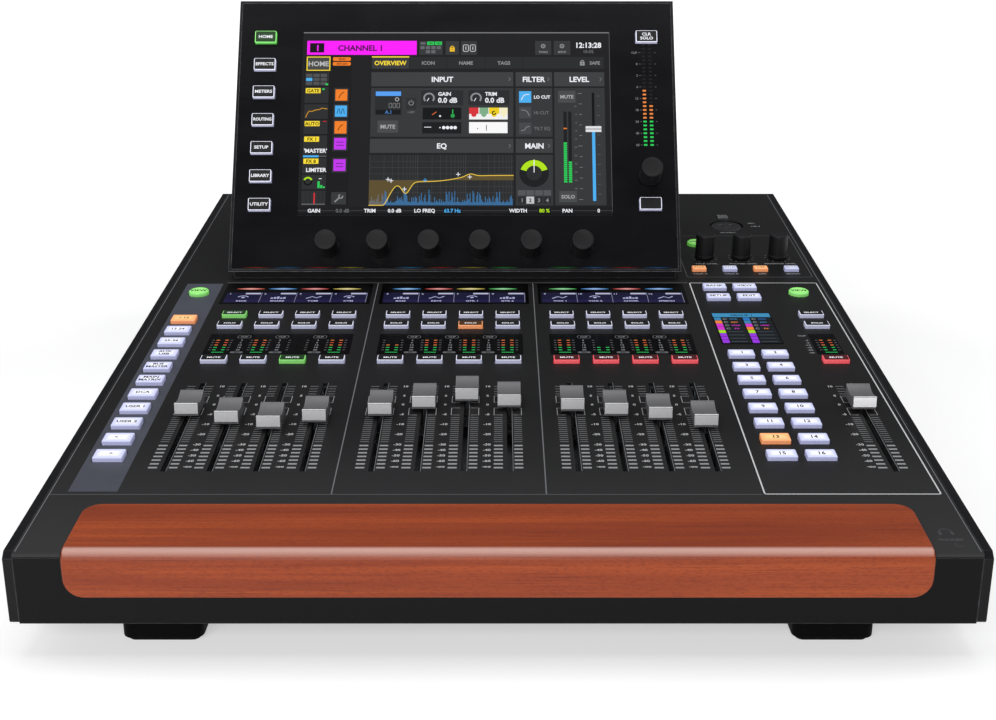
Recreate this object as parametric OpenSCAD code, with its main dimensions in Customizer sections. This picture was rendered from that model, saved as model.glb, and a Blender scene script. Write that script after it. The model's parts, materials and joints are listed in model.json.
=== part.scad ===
// Digital mixing console: a sloping control surface with thirteen motorised faders,
// a wooden armrest along the front and a fixed touch-screen pod over the rear half.
// Origin: centre of the footprint, on the surface the feet stand on. +Y is the rear.
// "v" is a distance back along the sloping panel from its front top edge, and "u" is a
// distance up the screen face from its lower edge.

/* [Body] */
// Overall width over the side cheeks
body_w = 456; // [452:1:464]
// Depth of the case from the front wall to the rear wall
body_d = 565; // [560:1:580]
// Slope of the control surface, degrees
slope = 5; // [4:0.5:6]
// Height of the front wall
front_h = 36; // [34:1:44]
// Thickness of the folded sheet
sheet = 2; // [1.6:0.1:2.2]
// Thickness of each side cheek
cheek_t = 4.6; // [4.2:0.1:6]
// Radius of the lower corners of the cheeks
cheek_r = 2; // [2:1:6]

/* [Feet] */
// Height of the feet
foot_h = 18; // [12:1:20]
// Width of a foot
foot_w = 39; // [30:1:42]
// Length of a foot
foot_l = 26; // [20:1:34]
// Distance of the feet from the middle plane
foot_x = 161; // [140:1:170]
// Distance of the front feet from the front wall
foot_inset = 14; // [8:1:24]

/* [Armrest] */
// Length of the wooden armrest
arm_w = 402; // [390:1:410]
// How far the armrest reaches back over the panel
arm_l = 44.5; // [40:0.5:50]
// How far the armrest reaches down the front wall
arm_drop = 22; // [18:1:26]
// Thickness of the wood
arm_t = 11; // [8:1:12]
// How far the wood stands proud of the case
arm_proud = 1.6; // [1:0.1:3]
// Radius of the two rear corners
arm_r = 9; // [8:1:16]
// Radius of the two lower corners
arm_low_r = 9.5; // [6:0.5:10]
// Radius of the long front edge
arm_edge_r = 6.5; // [4:0.5:9]

/* [Screen pod] */
// Width of the pod
pod_w = 314; // [300:1:316]
// Height of the screen face
pod_h = 205; // [202:1:207]
// Angle between the screen face and the control surface, degrees
pod_tilt = 53.2; // [50:0.1:56]
// Middle of the pod from the middle plane
pod_x = -30; // [-34:1:-28]
// Place of the lower edge of the screen face along the panel
pod_v = 361.8; // [360:0.1:366]
// Height of the recessed plinth below the pod
plinth_h = 6; // [5:0.5:8]
// Recess of the plinth
plinth_in = 3.5; // [2:0.5:5]
// Depth of the pod at its top
pod_t = 24; // [20:1:30]
// Place of the pod's rear wall along the panel
pod_back_v = 498; // [494:1:506]
// Wall thickness of the pod
pod_wall = 2; // [1.6:0.1:2.4]
// Thickness of the black bezel plate
bezel_t = 3; // [2.5:0.1:3.5]
// Width of the visible screen
screen_w = 217; // [210:1:220]
// Height of the visible screen
screen_h = 136; // [132:1:138]
// Height of the middle of the screen above the lower edge of the face
screen_u = 111; // [109:0.1:112]

/* [Faders] */
// Travel of a fader
fader_travel = 100; // [90:1:100]
// Distance between the faders of a bank
fader_pitch = 23.75; // [23:0.25:24]
// Distance between the banks
bank_pitch = 106.4; // [105:0.1:107]
// Middle of the left-hand bank
bank_x = -135.8; // [-137:0.1:-134]
// Place of the main fader and its keys
main_x = 203.7; // [200:0.1:205]
// Middle of the fader travel along the panel
fader_v = 134.8; // [133:0.1:136]
// Width of a fader cap
cap_w = 13; // [11:0.1:14]
// Length of a fader cap
cap_l = 19.5; // [17:0.5:22]
// Height of a fader cap
cap_h = 7.7; // [6:0.5:9]
// Gap below a fader cap
cap_gap = 1.6; // [0.8:0.1:2]

/* [Keys] */
// Height of a key above its panel
key_h = 2.2; // [1.8:0.1:3]
// Travel of a key
key_travel = 1; // [0.6:0.1:1.2]
// Gap around a key in its hole
key_gap = 0.35; // [0.3:0.05:0.5]
// Width of a channel key
ch_key_w = 15.5; // [14:0.1:17]
// Length of a channel key
ch_key_l = 8; // [7:0.5:9]
// Distance between the keys of the left-hand column and of the pad block
key_pitch = 19; // [18:0.1:20]

/* [Knobs] */
// Diameter of a knob on the screen pod
screen_knob_d = 15.4; // [13:0.1:16]
// Diameter of a knob of the monitor section
knob_d = 13.8; // [12:0.1:15]
// Height of a knob
knob_h = 18; // [14:1:18]
// Diameter of a knob's shaft
shaft_d = 6; // [5:0.5:6.5]
// Distance between the knobs below the screen
knob_pitch = 35.3; // [34:0.1:36]

/* [Rear panel] */
// Distance between the round audio sockets
xlr_pitch = 26; // [25:0.5:26.5]
// Diameter of the rim of a round audio socket
xlr_d = 23; // [22:0.5:24]
// How far the socket rims stand out of the rear panel
rear_out = 2.2; // [1.5:0.1:3]

/* [Hidden] */
$fn = 48;
eps = 0.01;
fit = 0.1;              // gap between fixed pieces that lie side by side
inner_w = body_w - 2 * cheek_t;
panel_l = body_d / cos(slope);
front_y = -(body_d + rear_out - arm_proud) / 2;
front_z = foot_h + front_h;
rear_z = front_z + body_d * tan(slope);
rear_y = front_y + body_d;

// Fader places and the rest place of each cap ahead of the middle of its travel
slot_l = fader_travel + 9;
slot_w = 2.8;
stem_w = 1.4;
stem_l = 6;
fader_rest = [16, 6, 0, 8, 16, 25, 35, 27, 22, 16, 11, 2, 24.5];
unit_w = 15;
unit_l = 154;
unit_h = 20;
unit_wall = 1.6;

// Rows of channel keys, back along the panel
select_v = 294.8;
solo_v = 276.6;
mute_v = 221.5;
meter_v = 247.5;
meter_l = 31.7;
meter_w = 89.5;
main_meter_w = 16;
main_meter_x = 203.3;
strip_v = 335;
strip_w = 100;
strip_l = 38;
view_v = 335.5;
view_d = 13.6;

// Left-hand column of layer keys and the right-hand block of pads
layer_x = -202.5;
layer_n = 11;
layer_v = 96;
layer_w = 15.6;
layer_l = 10.5;
pad_x = [148, 168.5];
pad_rows = 8;
pad_v = 96.5;
pad_w = 15.6;
pad_l = 9;
function_v = [326, 345];
preset_x = 158.2;
preset_v = 273.3;
preset_w = 38.3;
preset_l = 51.8;

// Monitor section at the rear right
monitor_x = [149.5, 175.9, 202.3];
monitor_v = 408;
monitor_key_x = [142.3, 164.1, 185.8, 207.6];
monitor_key_v = 382;
monitor_key_w = 9.9;
monitor_key_l = 7;
monitor_view = [147.5, 438];
talk_x = 176.7;
talk_v = 483;
talk_d = 22.5;
latch_dv = 20;
latch_w = 8;
latch_l = 5;

// Screen face, measured from its middle and up from its lower edge
menu_x = -137.3;
menu_u0 = 48.7;
menu_pitch = 21.2;
menu_w = 15.4;
menu_l = 9.1;
side_x = 137;
side_u = [49.3, 176.3];
knob_u = 17.7;
side_knob_u = 70.3;
glass_rim = 2;
glass_t = 2;

// Key parts below a panel
flange = 1.2;
flange_t = 1;
flange_gap = 0.3;
board_t = 1.6;
board_drop = 6.4;

// Rear panel rows
row_z = [foot_h + 69, foot_h + 43];
out_n = 4;
in_n = 12;
low_z = foot_h + 15;
barrel_r = 9.9;
inlet_x = -190;
rocker_x = -160;
rj_x = [-30, -8, 14, 36];
usb_x = 62;
rocker_axle = 4;
rocker_angle = 8;
axle_r = 1.4;

// Phones sockets in the right-hand cheek: step back from the first one, and radius
phones_y = 30;
phones_z = foot_h + 20;
phones = [[0, 3.25], [16, 1.85]];

FADERS = [for (i = [1:12]) str("fader_", i)];
ENCODERS = [for (i = [1:6]) str("screen_knob_", i)];
POTS = [for (i = [1:3]) str("monitor_knob_", i)];

// ---- frames -------------------------------------------------------------------------

module on_panel(v = 0) {
    translate([0, front_y, front_z]) rotate([slope, 0, 0]) translate([0, v, 0]) children();
}

module on_screen() {
    on_panel(pod_v) translate([pod_x, 0, plinth_h]) rotate([pod_tilt, 0, 0]) children();
}

module on_rear(x, z) {
    translate([x, rear_y, z]) rotate([-90, 0, 0]) children();
}

// ---- places -------------------------------------------------------------------------

// Every channel's place across the panel, the main channel last
channels = concat([for (b = [0:2], c = [0:3]) bank_x + bank_pitch * b + fader_pitch * (c - 1.5)], [main_x]);
banks = [for (b = [0:2]) bank_x + bank_pitch * b];
layer_at = [for (i = [0:layer_n - 1]) [layer_x, layer_v + key_pitch * i]];
view_at = [[layer_x, view_v], [main_x, view_v], monitor_view];
pad_at = concat([for (x = pad_x, i = [0:pad_rows - 1]) [x, pad_v + key_pitch * i]],
    [for (x = pad_x, v = function_v) [x, v]]);
monitor_key_at = [for (x = monitor_key_x) [x, monitor_key_v]];
menu_at = [for (i = [0:6]) [menu_x, menu_u0 + menu_pitch * i]];
side_at = [for (u = side_u) [side_x, u]];
encoder_at = [for (i = [0:5]) [knob_pitch * (i - 2.5), knob_u]];

// ---- shared shapes ------------------------------------------------------------------

module round_rect(w, l, r) {
    square([w - 2 * r, l], center = true);
    square([w, l - 2 * r], center = true);
    for (x = [-1, 1], y = [-1, 1]) translate([x * (w / 2 - r), y * (l / 2 - r)]) circle(r);
}

module plate(w, l, t, r = 1) {
    linear_extrude(t) round_rect(w, l, r);
}

// A key cap with the flange that keeps it below a plate of thickness t
module key(w, l, t, r = 0.9) {
    top = key_h + t + flange_gap + flange_t;
    translate([0, 0, key_h - top]) plate(w, l, top, r);
    translate([0, 0, key_h - top]) plate(w + 2 * flange, l + 2 * flange, flange_t, r);
}

module round_key(d, t) {
    top = key_h + t + flange_gap + flange_t;
    translate([0, 0, key_h - top]) cylinder(h = top, d = d);
    translate([0, 0, key_h - top]) cylinder(h = flange_t, d = d + 2 * flange);
}

module keys(places, w, l, t) {
    for (p = places) translate([p[0], p[1], 0]) key(w, l, t);
}

module key_holes(places, w, l) {
    for (p = places) translate(p) square([w + 2 * key_gap, l + 2 * key_gap], center = true);
}

// A knob of diameter d with its shaft, standing on a plate of thickness t
module knob(d, t) {
    translate([0, 0, 0.6]) cylinder(h = knob_h - 0.6, d = d);
    translate([0, 0, -t - 6]) cylinder(h = t + 7, d = shaft_d);
}

// The body of an encoder or pot below a plate of thickness t
module control_unit(t) {
    difference() {
        translate([-7, -7, -t - 8 - fit]) cube([14, 14, 8]);
        translate([0, 0, -t - 7]) cylinder(h = 8, d = shaft_d + 0.12);
    }
}

module screw(len) {
    cylinder(h = 1.8, r = 3);
    translate([0, 0, -len]) cylinder(h = len + eps, r = 1.5);
}

// ---- case ---------------------------------------------------------------------------

module arm_outline(gap) {
    w = arm_w + 2 * gap;
    l = arm_l + gap;
    r = arm_r + gap;
    translate([-w / 2, -5]) square([w, l + 5 - r]);
    translate([-w / 2 + r, 0]) square([w - 2 * r, l]);
    for (x = [-1, 1]) translate([x * (w / 2 - r), l - r]) circle(r);
}

module arm_front_outline(gap) {
    w = arm_w + 2 * gap;
    r = arm_low_r + gap;
    low = -arm_drop - gap;
    translate([-w / 2, low + r]) square([w, arm_drop + 8]);
    translate([-w / 2 + r, low]) square([w - 2 * r, arm_drop]);
    for (x = [-1, 1]) translate([x * (w / 2 - r), low + r]) circle(r);
}

// Floor, front plate and side rails of the case, with the posts of the main board
module base_tray() color("#2a2a2c") {
    difference() {
        union() {
            translate([-inner_w / 2, front_y + sheet + fit, foot_h])
                cube([inner_w, body_d - 2 * sheet - fit, sheet]);
            translate([-inner_w / 2, front_y, foot_h]) cube([inner_w, sheet, front_h - sheet - 0.2]);
            for (x = [-inner_w / 2, inner_w / 2 - sheet])
                translate([x, front_y + sheet + fit, foot_h + sheet + fit])
                    cube([sheet, body_d - 2 * sheet - fit, 18 - fit]);
        }
        translate([0, front_y + sheet + 1, front_z]) rotate([90, 0, 0])
            linear_extrude(sheet + 2) arm_front_outline(fit);
        for (x = [-1, 1], y = [60, 200, 350, 520])
            translate([x * inner_w / 2, front_y + y, foot_h + 12]) rotate([0, 90, 0])
                cylinder(h = 8, r = 1.6, center = true);
        for (p = phones) translate([inner_w / 2, front_y + phones_y + p[0], phones_z]) rotate([0, 90, 0])
            cylinder(h = 12, r = p[1] + 2.9, center = true);
        for (i = [0:9], y = [275, 320]) translate([-45 + 10 * i, front_y + y, foot_h - 1]) cube([4, 36, 4]);
    }
    for (x = [-20, 80, 180], y = [260, 500])
        translate([x, front_y + y, foot_h + sheet]) cylinder(h = 6, r = 3);
}

module top_panel() color("#303032") on_panel() translate([0, 0, -sheet]) linear_extrude(sheet) difference() {
    translate([-inner_w / 2, 0]) square([inner_w, panel_l]);
    arm_outline(fit);
    for (x = channels) translate([x, fader_v]) square([slot_w, slot_l], center = true);
    for (v = [select_v, solo_v, mute_v])
        key_holes([for (x = channels) [x, v]], ch_key_w, ch_key_l);
    key_holes(layer_at, layer_w, layer_l);
    key_holes(pad_at, pad_w, pad_l);
    key_holes(monitor_key_at, monitor_key_w, monitor_key_l);
    for (p = view_at) translate(p) circle(d = view_d + 2 * key_gap);
    for (x = banks) translate([x, strip_v]) square([strip_w, strip_l], center = true);
    for (x = banks) translate([x, meter_v]) square([meter_w, meter_l], center = true);
    translate([main_meter_x, meter_v]) square([main_meter_w, meter_l], center = true);
    translate([preset_x, preset_v]) square([preset_w, preset_l], center = true);
    for (x = monitor_x) translate([x, monitor_v]) circle(d = shaft_d + 1);
    translate([talk_x, talk_v]) circle(d = talk_d + 3.5);
    key_holes([[talk_x, talk_v + latch_dv]], latch_w, latch_l);
    translate([pod_x, (pod_v + pod_back_v) / 2]) square([160, 60], center = true);
}

// Side profile of the case, from the front wall back
module cheek(side) {
    x0 = side > 0 ? inner_w / 2 : -body_w / 2;
    difference() {
        translate([x0, 0, 0]) rotate([90, 0, 90]) linear_extrude(cheek_t) union() {
            polygon([[front_y, foot_h + cheek_r], [rear_y, foot_h + cheek_r], [rear_y, rear_z],
                [front_y + 3, front_z + 3 * tan(slope)], [front_y, front_z - 2.6]]);
            translate([front_y + cheek_r, foot_h]) square([body_d - 2 * cheek_r, cheek_r + 1]);
            for (y = [front_y + cheek_r, rear_y - cheek_r]) translate([y, foot_h + cheek_r]) circle(cheek_r);
        }
        for (y = [60, 200, 350, 520]) translate([side * body_w / 2, front_y + y, foot_h + 12])
            rotate([0, side * 90, 0]) {
                translate([0, 0, -2]) cylinder(h = 4, r = 3.2);
                translate([0, 0, -8]) cylinder(h = 9, r = 1.6);
            }
        if (side > 0) for (p = phones)
            translate([body_w / 2, front_y + phones_y + p[0], phones_z]) rotate([0, 90, 0])
                cylinder(h = 12, r = p[1] + 2.9, center = true);
    }
}

module left_cheek() color("#242426") cheek(-1);

module right_cheek() color("#242426") cheek(1);

module rear_panel() color("#2a2a2c") difference() {
    translate([-inner_w / 2, rear_y - sheet, foot_h]) cube([inner_w, sheet, rear_z - foot_h - sheet - 0.4]);
    for (x = xlr_columns(in_n + out_n), z = row_z)
        on_rear(x, z) translate([0, 0, -sheet - 1]) cylinder(h = sheet + 2, r = barrel_r + fit);
    for (x = rj_x) on_rear(x, low_z) cube([16 + fit, 13.5 + fit, 9], center = true);
    on_rear(usb_x, low_z) cube([12 + fit, 11 + fit, 9], center = true);
    on_rear(inlet_x, low_z) cube([27 + fit, 20 + fit, 9], center = true);
    on_rear(rocker_x, low_z) cube([19.4, 13.4, 9], center = true);
    for (i = [0:17]) on_rear(100 + 5.5 * i, low_z) cube([2.6, 16, 9], center = true);
    for (x = [-215, 0, 215], z = [foot_h + 30, foot_h + 56])
        on_rear(x, z) translate([0, 0, -8]) cylinder(h = 9, r = 1.6);
}

// Height of the centre of the armrest's rounded front edge, tangent to its sloping top
edge_z = front_z + (arm_proud - arm_edge_r) / cos(slope) + (arm_edge_r - arm_proud) * tan(slope);

// Points of an arc about c, from angle a to angle b in n steps
function arc_points(c, r, a, b, n) =
    [for (i = [0:n]) let (t = a + (b - a) * i / n) c + r * [cos(t), sin(t)]];

// A side-view point, v back along the panel and k above it
function panel_point(v, k) = [front_y + v * cos(slope) - k * sin(slope),
    front_z + v * sin(slope) + k * cos(slope)];

// What rounding with radius r takes off a corner at the origin that points to x, y
module corner_waste(r, x, y) {
    difference() {
        translate([x * (1 - r) / 2, y * (1 - r) / 2]) square(r + 1, center = true);
        translate([-x * r, -y * r]) circle(r);
    }
}

// Solid timber that sits over the front edge of the case
module armrest() color("#95482c") {
    back = front_y + arm_t - arm_proud;
    under = front_z + (arm_t - arm_proud) * tan(slope) + (arm_proud - arm_t) / cos(slope);
    difference() {
        translate([-arm_w / 2, 0, 0]) rotate([90, 0, 90]) linear_extrude(arm_w) polygon(concat(
            arc_points([front_y + arm_edge_r - arm_proud, edge_z], arm_edge_r, 180, 90 + slope, 14),
            [panel_point(arm_l, arm_proud), panel_point(arm_l, arm_proud - arm_t), [back, under],
            [back, front_z - arm_drop], [front_y - arm_proud, front_z - arm_drop]]));
        for (x = [-1, 1]) {
            on_panel(arm_l) translate([x * arm_w / 2, 0, -arm_t]) linear_extrude(2 * arm_t)
                corner_waste(arm_r, x, 1);
            translate([x * arm_w / 2, back + 1, front_z - arm_drop]) rotate([90, 0, 0])
                linear_extrude(arm_t + 2) corner_waste(arm_low_r, x, -1);
        }
    }
}

module feet() color("#141416") for (x = [-1, 1], y = [foot_inset + foot_l / 2, body_d - 14 - foot_l / 2])
    translate([x * foot_x, front_y + y, 0]) {
        plate(foot_w - 4, foot_l - 4, foot_h, 4);
        translate([0, 0, 2]) plate(foot_w, foot_l, foot_h - 2, 5);
    }

module case_screws() color("#1b1b1d") {
    for (s = [-1, 1], y = [60, 200, 350, 520])
        translate([s * (body_w / 2 - 2), front_y + y, foot_h + 12]) rotate([0, s * 90, 0]) screw(6);
    for (x = [-215, 0, 215], z = [foot_h + 30, foot_h + 56]) on_rear(x, z) screw(7);
}

// ---- screen pod ---------------------------------------------------------------------

face_c = cos(pod_tilt);
face_s = sin(pod_tilt);

// A point of the pod's side profile: u up the face and d behind it
function face_point(u, d) = [pod_v + u * face_c + d * face_s, plinth_h + u * face_s - d * face_c];

module pod_prism(w, points) {
    on_panel() translate([pod_x - w / 2, 0, 0]) rotate([90, 0, 90]) linear_extrude(w) polygon(points);
}

module screen_shell() color("#202022") difference() {
    union() {
        pod_prism(pod_w, [face_point(0, 0), face_point(pod_h, 0), face_point(pod_h, pod_t),
            [pod_back_v, plinth_h]]);
        pod_prism(pod_w - 2 * plinth_in, [[pod_v + plinth_in, 0], [pod_v + plinth_in, plinth_h + eps],
            [pod_back_v - plinth_in, plinth_h + eps], [pod_back_v - plinth_in, 0]]);
    }
    pod_prism(pod_w - 2 * pod_wall, [face_point(pod_wall, -1), face_point(pod_h - pod_wall, -1),
        face_point(pod_h - pod_wall, pod_t - pod_wall), [pod_back_v - pod_wall, plinth_h + pod_wall],
        [pod_v + 9, plinth_h + pod_wall], face_point(pod_wall, bezel_t)]);
    pod_prism(pod_w - 2 * plinth_in - 2 * pod_wall, [[pod_v + 9, -1], [pod_v + 9, plinth_h + 3],
        [pod_back_v - plinth_in - pod_wall, plinth_h + 3], [pod_back_v - plinth_in - pod_wall, -1]]);
    for (i = [-12:12], k = [40, 78]) on_panel(pod_back_v) translate([pod_x + 9 * i, 0, k + 14])
        cube([3, 20, 26], center = true);
}

module screen_bezel() color("#0d0d0f") on_screen() translate([0, 0, -bezel_t]) linear_extrude(bezel_t) {
    difference() {
        translate([0, pod_h / 2])
            square([pod_w - 2 * pod_wall - fit, pod_h - 2 * pod_wall - fit], center = true);
        translate([0, screen_u]) square([screen_w + 2 * glass_rim, screen_h + 2 * glass_rim], center = true);
        key_holes(menu_at, menu_w, menu_l);
        key_holes(side_at, menu_w, menu_l);
        for (p = encoder_at) translate(p) circle(d = shaft_d + 1);
        translate([side_x, side_knob_u]) circle(d = shaft_d + 1);
    }
}

module touch_glass() color("#16181c") on_screen() translate([0, screen_u, -glass_t])
    plate(screen_w + 2 * glass_rim - fit, screen_h + 2 * glass_rim - fit, glass_t, 0.5);

module display_panel() color("#3a4a6a") on_screen() translate([0, screen_u, -glass_t - 5.2])
    plate(screen_w + 2 * (glass_rim - fit), screen_h + 2 * (glass_rim - fit), 5, 1);

// ---- windows and boards -------------------------------------------------------------

module window(x, v, w, l) {
    on_panel(v) translate([x, 0, -sheet]) plate(w - fit, l - fit, sheet + 0.15, 0.5);
}

module channel_windows() color("#101226") for (x = banks) window(x, strip_v, strip_w, strip_l);

module meter_windows() color("#0c0c0e") {
    for (x = banks) window(x, meter_v, meter_w, meter_l);
    window(main_meter_x, meter_v, main_meter_w, meter_l);
}

module preset_display() color("#12203a") window(preset_x, preset_v, preset_w, preset_l);

// Boards under the channel keys, the left-hand column, the pads, the monitor keys and the bezel
module control_boards() color("#1f4a2c") {
    on_panel() translate([0, 0, -sheet - board_drop]) linear_extrude(board_t) {
        translate([-214, 213.5]) square([429, 146]);
        translate([-214, 84]) square([24, 131]);
        translate([138, 84]) square([42, 131]);
        translate([137, 372]) square([80, 20]);
    }
    on_screen() translate([0, 0, -bezel_t - board_drop]) {
        translate([menu_x, menu_u0 + 3 * menu_pitch, 0]) plate(24, 6 * menu_pitch + 20, board_t);
        for (p = side_at) translate([p[0], p[1], 0]) plate(24, 20, board_t);
        for (p = concat(menu_at, side_at)) translate([p[0], p[1], board_t]) plate(6, 6, 1.2, 0.5);
    }
}

module main_board() color("#1f4a2c") {
    translate([-30, front_y + 250, foot_h + sheet + 6]) cube([220, 260, board_t]);
    translate([40, front_y + 340, foot_h + sheet + 6 + board_t]) cube([50, 50, 14]);
}

module power_supply() color("#b8bcc0") difference() {
    translate([-205, front_y + 370, foot_h + sheet]) cube([130, 150, 38]);
    for (i = [0:11]) translate([-198 + 10 * i, front_y + 380, foot_h + sheet + 36]) cube([5, 130, 4]);
}

// ---- fader and control mechanisms ---------------------------------------------------

module fader_unit() {
    inner = unit_w - 2 * unit_wall;
    difference() {
        translate([-unit_w / 2, -unit_l / 2, -unit_h]) cube([unit_w, unit_l, unit_h]);
        translate([-inner / 2, -unit_l / 2 + unit_wall, unit_wall - unit_h])
            cube([inner, unit_l - 2 * unit_wall, unit_h - 2 * unit_wall]);
        translate([-slot_w / 2, -slot_l / 2, -unit_h / 2]) cube([slot_w, slot_l, unit_h]);
    }
}

module fader_units() color("#8d9093") for (x = channels) on_panel(fader_v) translate([x, 0, -sheet - fit])
    fader_unit();

// Cap, stem and carriage of the fader on channel i
module fader(i) {
    half = cap_l / 2;
    on_panel(fader_v + fader_rest[i]) translate([channels[i], 0, 0]) {
        difference() {
            translate([-cap_w / 2, 0, 0]) rotate([90, 0, 90]) linear_extrude(cap_w)
                polygon([[-half, cap_gap], [half, cap_gap], [half - 2, cap_gap + cap_h],
                    [2 - half, cap_gap + cap_h]]);
            translate([-cap_w, 0, cap_gap + cap_h + 21]) rotate([0, 90, 0]) cylinder(h = 2 * cap_w, r = 22);
        }
        translate([-stem_w / 2, -stem_l / 2, -unit_h / 2]) cube([stem_w, stem_l, unit_h / 2 + cap_gap + 1]);
        translate([-4, -6, -unit_h / 2 - 6]) cube([8, 12, 6]);
    }
}

module control_units() color("#9a9da0") {
    on_screen() for (p = concat(encoder_at, [[side_x, side_knob_u]])) translate(p) control_unit(bezel_t);
    for (x = monitor_x) on_panel(monitor_v) translate([x, 0, 0]) control_unit(sheet);
}

module screen_knob(i) {
    on_screen() translate(encoder_at[i]) knob(screen_knob_d, bezel_t);
}

module side_knob() color("#2b2b2d") on_screen() translate([side_x, side_knob_u])
    knob(screen_knob_d, bezel_t);

module monitor_knob(i) {
    on_panel(monitor_v) translate([monitor_x[i], 0, 0]) knob(knob_d, sheet);
}

// ---- keys ---------------------------------------------------------------------------

module channel_keys(v) {
    on_panel() keys([for (x = channels) [x, v]], ch_key_w, ch_key_l, sheet);
}

module select_keys() color("#d5d8f5") channel_keys(select_v);

module solo_keys() color("#d5d8f5") channel_keys(solo_v);

module mute_keys() color("#d5d8f5") channel_keys(mute_v);

module layer_keys() color("#d5d8f5") on_panel() keys(layer_at, layer_w, layer_l, sheet);

module assign_pads() color("#d5d8f5") on_panel() keys(pad_at, pad_w, pad_l, sheet);

module monitor_keys() color("#d5d8f5") on_panel() keys(monitor_key_at, monitor_key_w, monitor_key_l, sheet);

module view_keys() color("#9bf06b") on_panel() for (p = view_at) translate(p) round_key(view_d, sheet);

module menu_keys() color("#d5d8f5") on_screen() keys(menu_at, menu_w, menu_l, bezel_t);

module screen_side_keys() color("#d5d8f5") on_screen() keys(side_at, menu_w, menu_l, bezel_t);

// ---- sockets ------------------------------------------------------------------------

function xlr_columns(n) = [for (i = [0:n - 1]) xlr_pitch * (i - (in_n + out_n - 1) / 2)];
function out_columns() = [for (i = [in_n:in_n + out_n - 1]) xlr_columns(in_n + out_n)[i]];

// Three contacts of radius r, h long
module contacts(r, h) {
    for (a = [-90, 30, 150]) rotate(a) translate([4.6, 0, 0]) cylinder(h = h, r = r);
}

module socket_body(d) {
    cylinder(h = rear_out, d = d);
    translate([0, 0, -18]) cylinder(h = 18 + eps, r = barrel_r);
}

module female_socket(d) {
    difference() {
        socket_body(d);
        translate([0, 0, rear_out - 9]) contacts(1.5, 10);
    }
}

module male_socket(d) {
    difference() {
        socket_body(d);
        translate([0, 0, rear_out - 17]) cylinder(h = 18, r = 8.6);
    }
    translate([0, 0, rear_out - 17 - eps]) contacts(1.2, 10);
}

module xlr_inputs() color("#3a3a3c") for (x = xlr_columns(in_n), z = row_z)
    on_rear(x, z) female_socket(xlr_d);

module xlr_outputs() color("#3a3a3c") for (x = out_columns(), z = row_z)
    on_rear(x, z) male_socket(xlr_d);

module talkback_socket() color("#1c1c1e") on_panel(talk_v) translate([talk_x, 0, -1]) {
    difference() {
        translate([0, 0, -16]) cylinder(h = 16.4, d = talk_d);
        translate([0, 0, -8]) contacts(1.5, 10);
    }
    translate([0, 0, -3]) linear_extrude(2 - fit) difference() {
        translate([-talk_d / 2 - 3.5, -talk_d / 2 - 3.5]) square([talk_d + 7, talk_d + 7]);
        circle(d = talk_d - 1);
    }
}

// Release tab behind the talkback socket
module talkback_latch() color("#2a2a2c") on_panel(talk_v + latch_dv) translate([talk_x, 0, 0]) {
    translate([0, 0, -3.5]) plate(latch_w, latch_l, 4.3, 0.8);
    translate([0, 0, -3.5]) plate(latch_w + 2 * flange, latch_l, flange_t, 0.8);
}

module network_sockets() color("#c4c7ca") {
    for (x = rj_x) on_rear(x, low_z) difference() {
        translate([-8, -6.75, -16]) cube([16, 13.5, 16.5]);
        translate([-6, -4.2, -12]) cube([12, 8.4, 13]);
    }
    on_rear(usb_x, low_z) difference() {
        translate([-6, -5.5, -14]) cube([12, 11, 14.5]);
        translate([-4.2, -3.9, -10]) cube([8.4, 7.8, 11]);
    }
}

module power_inlet() color("#1a1a1c") on_rear(inlet_x, low_z) {
    difference() {
        translate([-13.5, -10, -22]) cube([27, 20, 23]);
        translate([-12, -8.2, -18]) cube([24, 16.4, 20]);
    }
    for (x = [-7, 0, 7]) translate([x - 1, (x == 0 ? -5 : -1), -18 - eps]) cube([2, 4, 11]);
    translate([rocker_x - inlet_x, 0, 0]) {
        difference() {
            translate([-9.6, -6.6, -12]) cube([19.2, 13.2, 12.6]);
            translate([-7.9, -5.9, -10]) cube([15.8, 11.8, 12]);
        }
        translate([-9, 0, -rocker_axle]) rotate([0, 90, 0]) cylinder(h = 18, r = axle_r);
    }
}

module power_switch() color("#111113") on_rear(rocker_x, low_z) translate([0, 0, -rocker_axle])
    rotate([rocker_angle, 0, 0]) difference() {
        translate([-7.5, 0, 0]) rotate([90, 0, 90]) linear_extrude(15)
            polygon([[-4.9, 4.6], [0, 3.9], [4.9, 4.6], [2.6, -3.4], [-2.6, -3.4]]);
        rotate([0, 90, 0]) cylinder(h = 30, r = axle_r + 0.05, center = true);
    }

module phones_sockets() color("#2c2c2e") for (p = phones)
    translate([body_w / 2, front_y + phones_y + p[0], phones_z]) rotate([0, 90, 0]) difference() {
        translate([0, 0, -22]) cylinder(h = 21.8, r = p[1] + 2.8);
        translate([0, 0, -16]) cylinder(h = 17, r = p[1]);
    }

base_tray();
top_panel();
left_cheek();
right_cheek();
rear_panel();
armrest();
feet();
screen_shell();
screen_bezel();
touch_glass();
display_panel();
channel_windows();
meter_windows();
preset_display();
main_board();
control_boards();
fader_units();
control_units();
power_supply();
talkback_socket();
xlr_inputs();
xlr_outputs();
network_sockets();
power_inlet();
phones_sockets();
case_screws();
for (i = [0:11]) color("#8d8d90") fader(i);
color("#e6e6ea") fader(12);  // main_fader
for (i = [0:5]) color("#2b2b2d") screen_knob(i);
side_knob();
for (i = [0:2]) color("#2b2b2d") monitor_knob(i);
layer_keys();
view_keys();
select_keys();
solo_keys();
mute_keys();
assign_pads();
menu_keys();
screen_side_keys();
monitor_keys();
talkback_latch();
power_switch();
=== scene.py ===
"""Looks of the mixing console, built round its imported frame: materials, key and fader caps,
knobs, printed legends and lit displays. Places come from the frame's nodes and joints."""
import json
import math
import random

import bmesh
import bpy
from mathutils import Matrix, Vector


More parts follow.
